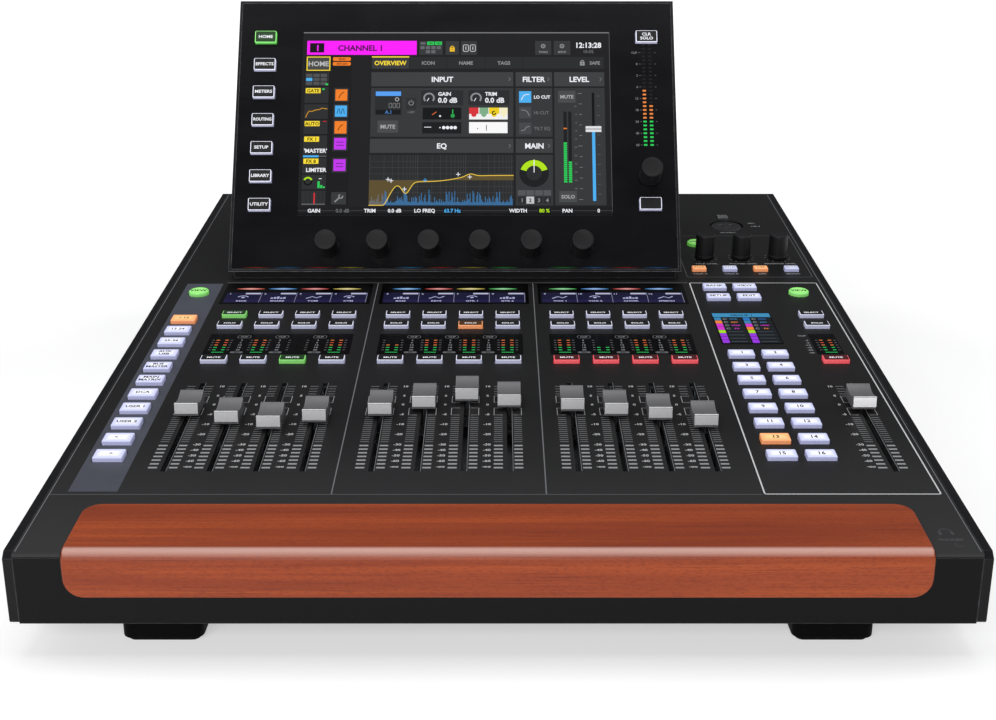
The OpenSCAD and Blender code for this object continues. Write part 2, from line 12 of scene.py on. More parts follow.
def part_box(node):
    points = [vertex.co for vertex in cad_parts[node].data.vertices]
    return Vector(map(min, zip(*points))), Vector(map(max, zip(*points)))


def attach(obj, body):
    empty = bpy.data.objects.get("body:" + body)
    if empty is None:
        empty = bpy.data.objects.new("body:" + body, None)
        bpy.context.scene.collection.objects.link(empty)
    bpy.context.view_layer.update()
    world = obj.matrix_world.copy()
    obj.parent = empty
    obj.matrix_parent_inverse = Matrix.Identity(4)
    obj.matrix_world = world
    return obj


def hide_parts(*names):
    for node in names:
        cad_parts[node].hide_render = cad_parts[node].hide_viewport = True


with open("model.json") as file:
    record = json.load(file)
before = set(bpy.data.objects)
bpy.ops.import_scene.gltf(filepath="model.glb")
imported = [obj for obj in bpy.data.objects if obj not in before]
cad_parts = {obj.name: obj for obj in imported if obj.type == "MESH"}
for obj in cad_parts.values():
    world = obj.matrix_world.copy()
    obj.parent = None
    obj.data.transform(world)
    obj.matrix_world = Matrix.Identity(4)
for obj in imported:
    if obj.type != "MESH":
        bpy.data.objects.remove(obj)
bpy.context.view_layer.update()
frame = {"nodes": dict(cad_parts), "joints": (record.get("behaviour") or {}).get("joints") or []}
random.seed(11)

MM = 0.001
NODES = frame["nodes"]
JOINTS = {j["name"]: j for j in frame["joints"]}
CONSOLE = "console"

# ---- colours ---------------------------------------------------------------------------


def rgb(code):
    """Linear colour of a six-digit sRGB code."""
    parts = [int(code[i:i + 2], 16) / 255 for i in (0, 2, 4)]
    linear = [p / 12.92 if p <= 0.04045 else ((p + 0.055) / 1.055) ** 2.4 for p in parts]
    return (*linear, 1.0)


WHITE = rgb("f4f5fb")
PRINT = rgb("8f9092")
PRINT_DIM = rgb("5b5c5e")
BLACK = rgb("050506")
# Key colours: the keys glow from their own backlight; core paints a highlight on the middle of the top, and
# the darker side paints shade on the walls, with rim between.
LAVENDER = {"core": rgb("ffffff"), "rim": rgb("b6bade"), "side": rgb("9093b8")}
RIM = {"core": rgb("f8f9ff"), "rim": rgb("dcdef0"), "side": rgb("9a9cb6")}
GREEN = {"core": rgb("a4f572"), "rim": rgb("74d848"), "side": rgb("5cb936")}
ORANGE = {"core": rgb("ffcc78"), "rim": rgb("f59a42"), "side": rgb("d97c28")}
RED = {"core": rgb("f03a40"), "rim": rgb("e4202c"), "side": rgb("e01c28")}

# ---- surfaces --------------------------------------------------------------------------


class Surface:
    """A flat frame in millimetres: X across, Y up along the surface and Z out of it."""

    def __init__(self, x_axis, z_axis, at):
        x, z = Vector(x_axis).normalized(), Vector(z_axis).normalized()
        turn = Matrix((x, z.cross(x), z)).transposed().to_4x4()
        self.matrix = Matrix.Translation(at) @ turn @ Matrix.Scale(MM, 4)
        self.inverse = self.matrix.inverted()

    def points(self, node):
        return [self.inverse @ v.co for v in NODES[node].data.vertices]

    def box(self, node):
        """Lowest and highest corner of a node in this frame."""
        found = self.points(node)
        return (Vector(map(min, zip(*found))), Vector(map(max, zip(*found))))

    def solids(self, node):
        """Lowest and highest corner of the top of each solid of a node, from left to right."""
        found = self.points(node)
        place = {}
        ids = [place.setdefault(tuple(round(c, 3) for c in p), len(place)) for p in found]
        parent = list(range(len(place)))

        def root(i):
            while parent[i] != i:
                parent[i] = parent[parent[i]]
                i = parent[i]
            return i

        for face in NODES[node].data.polygons:
            first = root(ids[face.vertices[0]])
            for v in face.vertices[1:]:
                parent[root(ids[v])] = first
        groups = {}
        for p, i in zip(found, ids):
            groups.setdefault(root(i), []).append(p)
        out = []
        for group in groups.values():
            top = max(p.z for p in group)
            crown = [p for p in group if p.z > top - 0.2]
            low = Vector((min(p.x for p in crown), min(p.y for p in crown), min(p.z for p in group)))
            high = Vector((max(p.x for p in crown), max(p.y for p in crown), top))
            out.append((low, high))
        return sorted(out, key=lambda s: (round(s[0].x), round(s[0].y)))


def key_surface(key_joint, turn_joint, edge_node):
    """The surface that a knob stands on, square to a key's travel, with Y 0 at a node's near edge."""
    out = -Vector(JOINTS[key_joint]["axis"])
    at = Vector(JOINTS[turn_joint]["pos_m"])
    low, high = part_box(edge_node)
    at.x = (low.x + high.x) / 2
    flat = Surface((1, 0, 0), out, at)
    return Surface((1, 0, 0), out, flat.matrix @ Vector((0, flat.box(edge_node)[0].y, 0)))


panel = key_surface("select_keys_press", "monitor_knob_1_turn", "top_panel")
face = key_surface("menu_keys_press", "screen_knob_1_turn", "screen_bezel")
rear_low, rear_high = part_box("rear_panel")
rear = Surface((-1, 0, 0), (0, 1, 0), Vector((0, rear_high.y, rear_low.z)))
cheek_low, cheek_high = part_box("right_cheek")
side = Surface((0, 1, 0), (1, 0, 0), Vector((cheek_high.x, cheek_low.y, rear_low.z)))


def centre(low, high):
    """Middle of a box, across and along its surface."""
    return (low.x + high.x) / 2, (low.y + high.y) / 2


def place(name, data):
    """A new object in the scene."""
    obj = bpy.data.objects.new(name, data)
    bpy.context.scene.collection.objects.link(obj)
    return obj


# ---- mesh building ---------------------------------------------------------------------

CAPITAL = 0.73  # height of a capital in the built-in typeface, for size 1
BOLDER = 0.04  # added round each letter
LEVEL_STEP = 0.012  # between flat layers that lie on each other
_glyphs = {}


def glyphs(text):
    """Flat mesh of a string with capitals 1 high, as points, faces and width."""
    if text not in _glyphs:
        curve = bpy.data.curves.new("text", "FONT")
        curve.body = text
        curve.size = 1 / CAPITAL
        curve.resolution_u = 2
        curve.fill_mode = "FRONT"
        curve.offset = BOLDER
        obj = place("text", curve)
        bpy.context.view_layer.update()
        mesh = obj.to_mesh()
        points = [tuple(v.co[:2]) for v in mesh.vertices]
        faces = [tuple(p.vertices) for p in mesh.polygons]
        obj.to_mesh_clear()
        bpy.data.objects.remove(obj)
        bpy.data.curves.remove(curve)
        wide = max(p[0] for p in points) if points else 0
        _glyphs[text] = (points, faces, wide)
    return _glyphs[text]


def round_outline(x0, y0, x1, y1, r, steps=4):
    """Points round a rectangle with rounded corners, anticlockwise."""
    r = min(r, (x1 - x0) / 2, (y1 - y0) / 2)
    if r <= 0:
        return [(x0, y0), (x1, y0), (x1, y1), (x0, y1)]
    out = []
    for k, (cx, cy) in enumerate([(x1 - r, y1 - r), (x0 + r, y1 - r), (x0 + r, y0 + r), (x1 - r, y0 + r)]):
        for i in range(steps + 1):
            a = math.radians(90 * k + 90 * i / steps)
            out.append((cx + r * math.cos(a), cy + r * math.sin(a)))
    return out


class Piece:
    """Gathers coloured faces in a surface's frame, and makes one object of them."""

    def __init__(self, surface, origin=(0, 0), down=False, base=0.0):
        self.surface = surface
        self.origin = origin
        self.sign = -1 if down else 1
        self.base = base
        self.verts, self.faces, self.tints = [], [], []

    def at(self, x, y, level):
        return (self.origin[0] + x, self.origin[1] + self.sign * y, self.base + level * LEVEL_STEP)

    def add(self, points, faces, tints, flip=False):
        start = len(self.verts)
        self.verts += points
        self.tints += tints
        for f in faces:
            f = tuple(start + i for i in f)
            self.faces.append(f[::-1] if flip else f)

    # flat ink ---------------------------------------------------------------------------

    def poly(self, points, tint, level=1):
        made = [self.at(x, y, level) for x, y in points]
        area = sum(a[0] * b[1] - b[0] * a[1] for a, b in zip(made, made[1:] + made[:1]))
        self.add(made, [tuple(range(len(made)))], [tint] * len(made), flip=area < 0)

    def rect(self, x0, y0, x1, y1, tint, level=1, r=0.0):
        self.poly(round_outline(min(x0, x1), min(y0, y1), max(x0, x1), max(y0, y1), r), tint, level)

    def outline(self, x0, y0, x1, y1, w, tint, level=1, r=0.0):
        outer = round_outline(x0, y0, x1, y1, r)
        inner = round_outline(x0 + w, y0 + w, x1 - w, y1 - w, max(r - w, 0))
        if len(inner) != len(outer):
            inner = round_outline(x0 + w, y0 + w, x1 - w, y1 - w, 0.01)
        self.band(outer, inner, tint, level, True)

    def band(self, outer, inner, tint, level=1, closed=False):
        n = len(outer)
        made = [self.at(x, y, level) for x, y in list(outer) + list(inner)]
        faces = [(i, (i + 1) % n, n + (i + 1) % n, n + i) for i in range(n if closed else n - 1)]
        a, b, c = (made[i] for i in faces[0][:3])
        turn = (b[0] - a[0]) * (c[1] - b[1]) - (b[1] - a[1]) * (c[0] - b[0])
        self.add(made, faces, [tint] * len(made), flip=turn < 0)

    def stroke(self, points, w, tint, level=1):
        """A line of width w along the points."""
        left, right = [], []
        for i, (x, y) in enumerate(points):
            a, b = points[max(i - 1, 0)], points[min(i + 1, len(points) - 1)]
            dx, dy = b[0] - a[0], b[1] - a[1]
            size = math.hypot(dx, dy) or 1
            ox, oy = -dy / size * w / 2, dx / size * w / 2
            left.append((x + ox, y + oy))
            right.append((x - ox, y - oy))
        self.band(left, right, tint, level)

    def arc(self, cx, cy, r0, r1, a0, a1, tint, level=1, steps=20):
        turns = [math.radians(a0 + (a1 - a0) * i / steps) for i in range(steps + 1)]
        outer = [(cx + r1 * math.cos(a), cy + r1 * math.sin(a)) for a in turns]
        inner = [(cx + r0 * math.cos(a), cy + r0 * math.sin(a)) for a in turns]
        self.band(outer, inner, tint, level)

    def disc(self, cx, cy, r, tint, level=1, steps=20):
        turns = [2 * math.pi * i / steps for i in range(steps)]
        self.poly([(cx + r * math.cos(a), cy + r * math.sin(a)) for a in turns], tint, level)

    def glow(self, cx, cy, w, h, core, rim, level=1, steps=24):
        """A lens shape that is brightest at its middle."""
        turns = [2 * math.pi * i / steps for i in range(steps)]
        ring = [(cx + w / 2 * math.cos(a), cy + h / 2 * math.sin(a) * (1 - 0.45 * abs(math.cos(a))))
                for a in turns]
        mid = [(cx + w / 4.5 * math.cos(a), cy + h / 4 * math.sin(a)) for a in turns]
        points = [self.at(cx, cy, level)] + [self.at(*p, level) for p in mid + ring]
        n = steps
        faces = [(0, 1 + i, 1 + (i + 1) % n) for i in range(n)]
        faces += [(1 + i, 1 + n + i, 1 + n + (i + 1) % n, 1 + (i + 1) % n) for i in range(n)]
        half = tuple((a + b) / 2 for a, b in zip(core, rim))
        self.add(points, faces, [core] + [half] * n + [rim] * n, flip=self.sign < 0)

    def text(self, words, x, y, size, tint, align="centre", level=2, stretch=1.0):
        points, faces, wide = glyphs(words)
        scale_x = size * stretch
        shift = {"left": 0, "centre": -wide * scale_x / 2, "right": -wide * scale_x}[align]
        ox, oy = self.origin[0] + x + shift, self.origin[1] + self.sign * y - size / 2
        z = self.base + level * LEVEL_STEP
        made = [(ox + px * scale_x, oy + py * size, z) for px, py in points]
        self.add(made, faces, [tint] * len(made))

    # solid shapes -----------------------------------------------------------------------

    def loft(self, rings, tints, rise, crown):
        """Joins rings of equal length, closes the first, and closes the last at a raised middle."""
        n = len(rings[0])
        points = [p for ring in rings for p in ring]
        colours = [t for t in tints for _ in range(n)]
        faces = []
        for k in range(len(rings) - 1):
            for i in range(n):
                j = (i + 1) % n
                faces.append((k * n + i, k * n + j, (k + 1) * n + j, (k + 1) * n + i))
        last = rings[-1]
        x, y, z = (sum(p[c] for p in last) / n for c in range(3))
        points.append((x, y, z + rise))
        colours.append(crown)
        top = (len(rings) - 1) * n
        faces += [(top + i, top + (i + 1) % n, len(points) - 1) for i in range(n)]
        faces.append(tuple(range(n))[::-1])
        self.add(points, faces, colours)

    def slab(self, low, high, r, bevel, tints, flange=(0, 0)):
        """A key cap: a rounded block with a soft upper edge, and a flange at its foot."""
        rings, colours = [], []

        def ring(inset, z, tint):
            shape = round_outline(low.x + inset, low.y + inset, high.x - inset, high.y - inset,
                                  max(r - inset, 0.15))
            rings.append([(x, y, z) for x, y in shape])
            colours.append(tint)

        if flange[0]:
            ring(-flange[0], low.z, tints["side"])
            ring(-flange[0], low.z + flange[1], tints["side"])
        ring(0, low.z + flange[1], tints["side"])
        # Painted shade and highlight: the walls blend from the darker side tint up to the rim tint, and the
        # top rises to the brighter core tint at its middle.
        for i in range(4):
            a = math.radians(30 * i)
            mix = i / 3
            blend = tuple(s + (e - s) * mix for s, e in zip(tints["side"], tints["rim"]))
            ring(bevel * (1 - math.cos(a)), high.z - bevel * (1 - math.sin(a)), blend)
        ring(bevel + 0.5, high.z + 0.02, tints["rim"])
        glow = tuple(0.6 * e + 0.4 * c for e, c in zip(tints["rim"], tints["core"]))
        ring(0.3 * min(high.x - low.x, high.y - low.y), high.z + 0.03, glow)
        self.loft(rings, colours, 0.01, tints["core"])

    def make(self, name, body, finish, smooth=True):
        """One object of all the faces, riding on a body."""
        mesh = bpy.data.meshes.new(name)
        mesh.from_pydata([self.surface.matrix @ Vector(v) for v in self.verts], [], self.faces)
        tint = mesh.color_attributes.new("tint", "FLOAT_COLOR", "POINT")
        tint.data.foreach_set("color", [c for t in self.tints for c in t])
        mesh.polygons.foreach_set("use_smooth", [smooth] * len(self.faces))
        mesh.update()
        obj = place(name, mesh)
        mesh.materials.append(MATERIALS[finish])
        if smooth:
            sharpen(mesh, 40)
        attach(obj, body)
        return obj


def sharpen(mesh, degrees):
    """Marks edges sharper than an angle, so that flat faces stay flat."""
    work = bmesh.new()
    work.from_mesh(mesh)
    for e in work.edges:
        e.smooth = len(e.link_faces) == 2 and e.calc_face_angle(0) < math.radians(degrees)
    work.to_mesh(mesh)
    work.free()


# ---- materials -------------------------------------------------------------------------


class Shader:
    """A node material with a Principled shader and short calls for what feeds it."""

    def __init__(self, name, **sockets):
        self.material = bpy.data.materials.new(name)
        self.material.use_nodes = True
        self.tree = self.material.node_tree
        self.bsdf = self.tree.nodes["Principled BSDF"]
        self.place = self.node("TexCoord").outputs["Object"]
        for key, value in sockets.items():
            self.bsdf.inputs[key.replace("_", " ")].default_value = value

    def node(self, kind, inputs=None, **settings):
        made = self.tree.nodes.new("ShaderNode" + kind)
        for key, value in settings.items():
            setattr(made, key, value)
        for key, value in (inputs or {}).items():
            self.put(made.inputs[key], value)
        return made

    def put(self, socket, value):
        if isinstance(value, bpy.types.NodeSocket):
            self.tree.links.new(value, socket)
        else:
            socket.default_value = value

    def set(self, key, value):
        self.put(self.bsdf.inputs[key], value)

    def noise(self, scale, detail=3.0, stretch=None, distortion=0.0):
        where = self.place
        if stretch:
            where = self.node("Mapping", {"Vector": self.place, "Scale": stretch}).outputs[0]
        return self.node("TexNoise", {"Vector": where, "Scale": scale, "Detail": detail,
                                      "Distortion": distortion}).outputs[0]

    def span(self, value, low, high, start=0.3, end=0.7):
        return self.node("MapRange", {0: value, 1: start, 2: end, 3: low, 4: high}).outputs[0]

    def math(self, kind, a, b=0.0):
        return self.node("Math", {0: a, 1: b}, operation=kind).outputs[0]

    def mix(self, share, a, b, blend="MIX"):
        made = self.node("Mix", {0: share, 6: a, 7: b}, data_type="RGBA", blend_type=blend)
        return made.outputs[2]

    def tint(self):
        return self.node("VertexColor", layer_name="tint").outputs[0]

    def bump(self, height, strength, distance):
        made = self.node("Bump", {"Height": height, "Strength": strength, "Distance": distance})
        self.set("Normal", made.outputs[0])

    def glowing(self, tone, strength):
        """The material, giving off light that is seen but isn't sampled as a lamp."""
        self.set("Emission Color", tone)
        self.set("Emission Strength", strength)
        self.material.cycles.emission_sampling = "NONE"
        return self.material

    def edges(self, radius):
        """1 on convex edges and 0 on flat stretches, as a mask for painted edge highlights."""
        soft = self.node("Bevel", {"Radius": radius}, samples=4).outputs[0]
        plain = self.node("NewGeometry").outputs["Normal"]
        dot = self.node("VectorMath", {0: soft, 1: plain}, operation="DOT_PRODUCT").outputs["Value"]
        return self.span(dot, 1.0, 0.0, 0.86, 0.995)


def moulded(name, base, rough, grain=3200, depth=0.00004, mottle=0.16, edge=0.0, highlight_tint=None, **sockets):
    """Painted metal or moulded plastic: cloudy tone, fine grain, uneven gloss and, where edge is set, a
    patchy painted highlight on convex edges.
    """
    s = Shader(name, **sockets)
    cloud = s.noise(22, 5)
    fine = s.noise(grain, 2)
    light = tuple(c * (1 + mottle) for c in base[:3]) + (1,)
    dark = tuple(c * (1 - mottle) for c in base[:3]) + (1,)
    tone = s.mix(s.span(cloud, 0, 1), dark, light)
    tone = s.mix(s.span(fine, 0, 0.5), tone, tuple(c * 1.25 for c in base[:3]) + (1,))
    # Painted highlight: when edge is set, convex edges are lightened toward the given tint, broken up by
    # noise.
    if edge:
        edge_highlight_mask = s.math("MULTIPLY", s.edges(0.0007), s.span(s.noise(160, 4), 0.25, 1.0))
        tone = s.mix(s.math("MULTIPLY", edge_highlight_mask, edge), tone, highlight_tint or rgb("6b6c70"))
    s.set("Base Color", tone)
    s.set("Roughness", s.math("ADD", s.span(cloud, rough - 0.05, rough + 0.03), s.span(fine, -0.04, 0.04)))
    s.bump(fine, 0.5, depth)
    return s


def panel_finish():
    """Powder-coated top sheet with painted light that makes it paler toward the front, and a grey-blue field
    behind the left-hand keys.
    """
    s = moulded("panel_coat", rgb("131314"), 0.50, 2600, 0.00005, Specular_IOR_Level=0.2)
    across, along = s.node("SeparateXYZ", {0: s.place}).outputs[:2]
    near, far, front, back = ((panel.matrix @ Vector((0, v, 0))).y for v in (*STRIP_ENDS, *PAINTED_LIGHT_FRONT))
    inside = s.math("MULTIPLY", s.math("LESS_THAN", across, STRIP_RIGHT * MM),
                    s.math("GREATER_THAN", across, STRIP_LEFT * MM))
    inside = s.math("MULTIPLY", inside, s.math("GREATER_THAN", along, near))
    inside = s.math("MULTIPLY", inside, s.math("LESS_THAN", along, far))
    ground = s.bsdf.inputs["Base Color"].links[0].from_socket
    # Painted light: the colour turns paler toward the front of the panel.
    ground = s.mix(s.span(along, 1, 0, front, back), ground, rgb("2b2b2c"))
    field = s.mix(s.span(s.noise(30, 4), 0, 1), rgb("3e4049"), rgb("484a54"))
    s.set("Base Color", s.mix(inside, ground, field))
    return s.material


# The painted highlight band on the armrest is centred where its surface faces this way.
PAINTED_HIGHLIGHT_FACING = (0, -0.56, 0.83)  # direction that the middle of the armrest's round edge faces


def wood_finish():
    """Lacquered cherry: grain lines, pores and darker bands, a painted highlight on its convex edges, and a
    pale painted highlight band on the round front edge, where the coat is also thicker.
    """
    s = Shader("cherry_wood", Coat_Roughness=0.34, Specular_IOR_Level=0.14)
    wander = s.noise(5, 3, (0.6, 4, 4))
    bands = s.noise(26, 6, (0.10, 3.2, 5.0), 0.6)
    lines = s.noise(90, 8, (0.05, 6.0, 9.0), 0.3)
    pores = s.noise(420, 3, (0.045, 5.0, 5.0))
    tone = s.mix(s.span(bands, 0, 1, 0.36, 0.64), rgb("78321c"), rgb("9e4824"))
    tone = s.mix(s.span(lines, 0, 0.75, 0.35, 0.68), tone, rgb("82371f"))
    tone = s.mix(s.span(wander, 0, 0.4, 0.4, 0.65), tone, rgb("a84f2a"))
    tone = s.mix(s.span(pores, 0.55, 0, 0.30, 0.42), tone, rgb("54241a"))
    s.set("Roughness", s.span(lines, 0.34, 0.48))
    flecks = s.noise(1500, 2, (0.3, 1.0, 1.0))
    tone = s.mix(s.span(flecks, 0.4, 0, 0.36, 0.5), tone, rgb("6d2c1c"))
    # Painted highlight: a pale tone on convex edges.
    tone = s.mix(s.math("MULTIPLY", s.edges(0.0006), 0.55), tone, rgb("cfa596"))
    # Painted highlight: a pale band along the round front edge, with more coat there.
    facing = s.node("VectorMath", {0: s.node("TexCoord").outputs["Normal"], 1: PAINTED_HIGHLIGHT_FACING},
                    operation="DOT_PRODUCT")
    painted_highlight_band = s.span(facing.outputs["Value"], 0, 1, 0.90, 0.995)
    s.set("Base Color", s.mix(s.math("MULTIPLY", painted_highlight_band, 0.45), tone, rgb("d9b4a8")))
    s.set("Coat Weight", s.span(painted_highlight_band, 0.10, 0.7, 0, 1))
    s.bump(s.math("ADD", pores, s.math("MULTIPLY", lines, 0.4)), 0.35, 0.00008)
    return s.material


def metal_finish(name, base, rough, brush=(1, 1, 1)):
    """Plated sheet with fine drawn lines and faint stains."""
    s = Shader(name, Metallic=1.0)
    lines = s.noise(900, 4, brush)
    stain = s.noise(40, 5)
    dark = tuple(c * 0.72 for c in base[:3]) + (1,)
    s.set("Base Color", s.mix(s.span(stain, 0, 1), dark, base))
    s.set("Roughness", s.math("ADD", s.span(lines, -0.08, 0.08), s.span(stain, rough - 0.05, rough + 0.08)))
    s.bump(lines, 0.25, 0.00003)
    return s.material


def gloss_finish(name, base, rough, coat=0.6, shine=0.5):
    """Smooth acrylic or glass with faint haze and wipe marks."""
    s = Shader(name, Coat_Weight=coat, Coat_Roughness=0.05, Specular_IOR_Level=shine)
    haze = s.noise(14, 6, (1, 2.5, 2.5), 0.4)
    fine = s.noise(2400, 2)
    light = tuple(c * 1.35 for c in base[:3]) + (1,)
    s.set("Base Color", s.mix(s.span(haze, 0, 1), base, light))
    s.set("Roughness", s.math("ADD", s.span(haze, rough - 0.02, rough + 0.06), s.span(fine, -0.01, 0.01)))
    s.bump(s.noise(9, 2), 0.08, 0.0002)
    return s.material


def lit_finish(name, pixel=0.0):
    """A lit legend or display: the colour of each face glows under a clear top."""
    s = Shader(name, Roughness=0.45, Specular_IOR_Level=0.06)
    tone = s.tint()
    s.set("Base Color", s.mix(1.0, tone, (0.02, 0.02, 0.02, 1), "MULTIPLY"))
    if pixel:
        cells = s.node("TexVoronoi", {"Vector": s.place, "Scale": pixel, "Randomness": 0.0})
        grid = cells.outputs["Distance"]
        tone = s.mix(s.span(grid, 1.0, 0.93, 0.2, 0.6), (0, 0, 0, 1), tone)
    return s.glowing(tone, 1.0)


def ink_finish():
    """Silk-screened ink with slightly broken cover."""
    s = Shader("screen_print", Roughness=0.5, Specular_IOR_Level=0.3)
    cover = s.span(s.noise(1800, 3), 0.84, 1.0, 0.3, 0.6)
    s.set("Base Color", s.mix(cover, (0.01, 0.01, 0.01, 1), s.tint()))
    return s.material


def key_finish():
    """Translucent silicone-topped key, lit from below."""
    s = Shader("key_translucent", Specular_IOR_Level=0.3)
    tone = s.tint()
    fine = s.noise(2600, 2)
    s.set("Base Color", s.mix(0.5, tone, s.mix(s.span(fine, 0, 1), tone, (0.5, 0.5, 0.56, 1))))
    s.set("Roughness", s.span(fine, 0.34, 0.46))
    s.bump(fine, 0.2, 0.00003)
    return s.glowing(tone, 0.38)


def board_finish():
    """Circuit board: green mask over darker tracks."""
    s = Shader("circuit_board", Roughness=0.35, Coat_Weight=0.3)
    cells = s.node("TexVoronoi", {"Vector": s.place, "Scale": 160.0}, feature="DISTANCE_TO_EDGE").outputs[0]
    tone = s.mix(s.span(cells, 1, 0, 0.02, 0.06), rgb("1c4d2b"), rgb("3c7a40"))
    s.set("Base Color", s.mix(s.span(s.noise(50, 4), 0, 0.5), tone, rgb("163c22")))
    s.bump(cells, 0.3, 0.0001)
    return s.material


def rubber_finish(name, base, rough=0.62, shine=0.22):
    """Matt moulded rubber with a dusty bloom."""
    return moulded(name, base, rough, 1500, 0.00008, 0.12, Specular_IOR_Level=shine).material


# The grey-blue field of the left-hand column, and the stretch over which painted light makes the panel paler
STRIP_LEFT, STRIP_RIGHT = -214.0, -189.3
STRIP_ENDS = (59, 354)
PAINTED_LIGHT_FRONT = (5, 130)

# The number and tint given to moulded() after the mottle paint a highlight on convex edges of the case,
# cheeks, pod, sockets and fader caps.
MATERIALS = {
    "case": moulded("case_coat", rgb("0c0c0d"), 0.48, 2600, 0.00005, 0.14, 0.5,
                    Specular_IOR_Level=0.1).material,
    "panel": panel_finish(),
    "cheek": moulded("cheek_plastic", rgb("0e0e10"), 0.46, 1500, 0.00007, 0.12, 0.7, rgb("5a5b5e"),
                     Specular_IOR_Level=0.15).material,
    "wood": wood_finish(),
    "foot": rubber_finish("foot_rubber", rgb("040405"), shine=0.05),
    "pod": moulded("pod_plastic", rgb("0f0f11"), 0.42, 1800, 0.00005, 0.12, 0.9, rgb("77787c"),
                   Specular_IOR_Level=0.2).material,
    "bezel": gloss_finish("bezel_acrylic", rgb("0c0c0e"), 0.22, 0.05, 0.14),
    "glass": gloss_finish("cover_glass", rgb("060608"), 0.25, 0.1, 0.25),
    "window": gloss_finish("smoked_window", rgb("030304"), 0.3, 0.0, 0.06),
    "board": board_finish(),
    "steel": metal_finish("plated_steel", rgb("b9bcc0"), 0.34, (1, 12, 1)),
    "supply": metal_finish("supply_case", rgb("a9adb2"), 0.42, (10, 1, 1)),
    "socket": moulded("socket_plastic", rgb("141416"), 0.4, 1500, 0.00005, 0.12, 0.8, rgb("8a8b8f")).material,
    "screw": metal_finish("black_screw", rgb("3a3a3d"), 0.4, (6, 6, 6)),
    "knob": rubber_finish("knob_rubber", rgb("131315"), 0.5),
    "cap": moulded("cap_grey", rgb("5a5a5c"), 0.42, 1800, 0.00003, 0.05, 0.4, rgb("a0a0a2")).material,
    # A paler copy of the cap grey for the fader fronts, as a painted highlight.
    "cap_front_painted_highlight": moulded("cap_front_painted_highlight", rgb("b6b6b8"), 0.38, 1800, 0.00003, 0.04, 0.4, rgb("f0f0f0")).material,
    # The main fader's own white, also the painted highlight line on every cap's top front chamfer.
    "cap_white": moulded("cap_white", rgb("f2f2f4"), 0.38, 1800, 0.00003, 0.03, 0.4, rgb("ffffff")).material,
    "key": key_finish(),
    "lit": lit_finish("lit_legend"),
    "display": lit_finish("lit_display", 2400.0),
    "ink": ink_finish(),
}

FINISH = {
    "case": ["base_tray", "rear_panel"],
    "panel": ["top_panel"],
    "cheek": ["left_cheek", "right_cheek"],
    "wood": ["armrest"],
    "foot": ["feet"],
    "pod": ["screen_shell"],
    "bezel": ["screen_bezel"],
    "glass": ["touch_glass", "display_panel"],
    "window": ["channel_windows", "meter_windows", "preset_display"],
    "board": ["main_board", "control_boards"],
    "steel": ["fader_units", "control_units", "network_sockets", "talkback_latch"],
    "supply": ["power_supply"],
    "socket": ["talkback_socket", "xlr_inputs", "xlr_outputs", "power_inlet", "phones_sockets",
               "power_switch"],
    "screw": ["case_screws"],
}
ROUNDING = {"armrest": (1.1, 4), "screen_shell": (0.6, 3), "feet": (0.8, 3), "base_tray": (0.4, 2),
            "left_cheek": (0.7, 3), "right_cheek": (0.7, 3), "top_panel": (0.25, 2), "rear_panel": (0.25, 2),
            "power_supply": (0.6, 2), "power_inlet": (0.3, 2), "network_sockets": (0.25, 2),
            "power_switch": (0.3, 2), "screen_bezel": (0.2, 2), "talkback_socket": (0.25, 2),
            "talkback_latch": (0.3, 2), "xlr_inputs": (0.3, 2), "xlr_outputs": (0.3, 2),
            "phones_sockets": (0.25, 2), "case_screws": (0.3, 2), "touch_glass": (0.15, 2)}


def dress(node, material):
    """Gives a CAD node its finish and, where it shows, softly rounded edges."""
    obj = NODES[node]
    for held in obj.material_slots:
        held.link = "OBJECT"
        held.material = material
    if node in ROUNDING:
        width, segments = ROUNDING[node]
        weld = obj.modifiers.new("weld", "WELD")
        weld.merge_threshold = 2e-6
        flat = obj.modifiers.new("flat", "DECIMATE")
        flat.decimate_type = "DISSOLVE"
        flat.angle_limit = math.radians(0.5)
        bevel = obj.modifiers.new("bevel", "BEVEL")
        bevel.width = width * MM
        bevel.segments = segments
        bevel.limit_method = "ANGLE"
        bevel.angle_limit = math.radians(32)
        bevel.use_clamp_overlap = True
        bevel.harden_normals = True


for finish, members in FINISH.items():
    for member in members:
        dress(member, MATERIALS[finish])

# ---- fader caps ------------------------------------------------------------------------

FADERS = [f"fader_{i}" for i in range(1, 13)] + ["main_fader"]


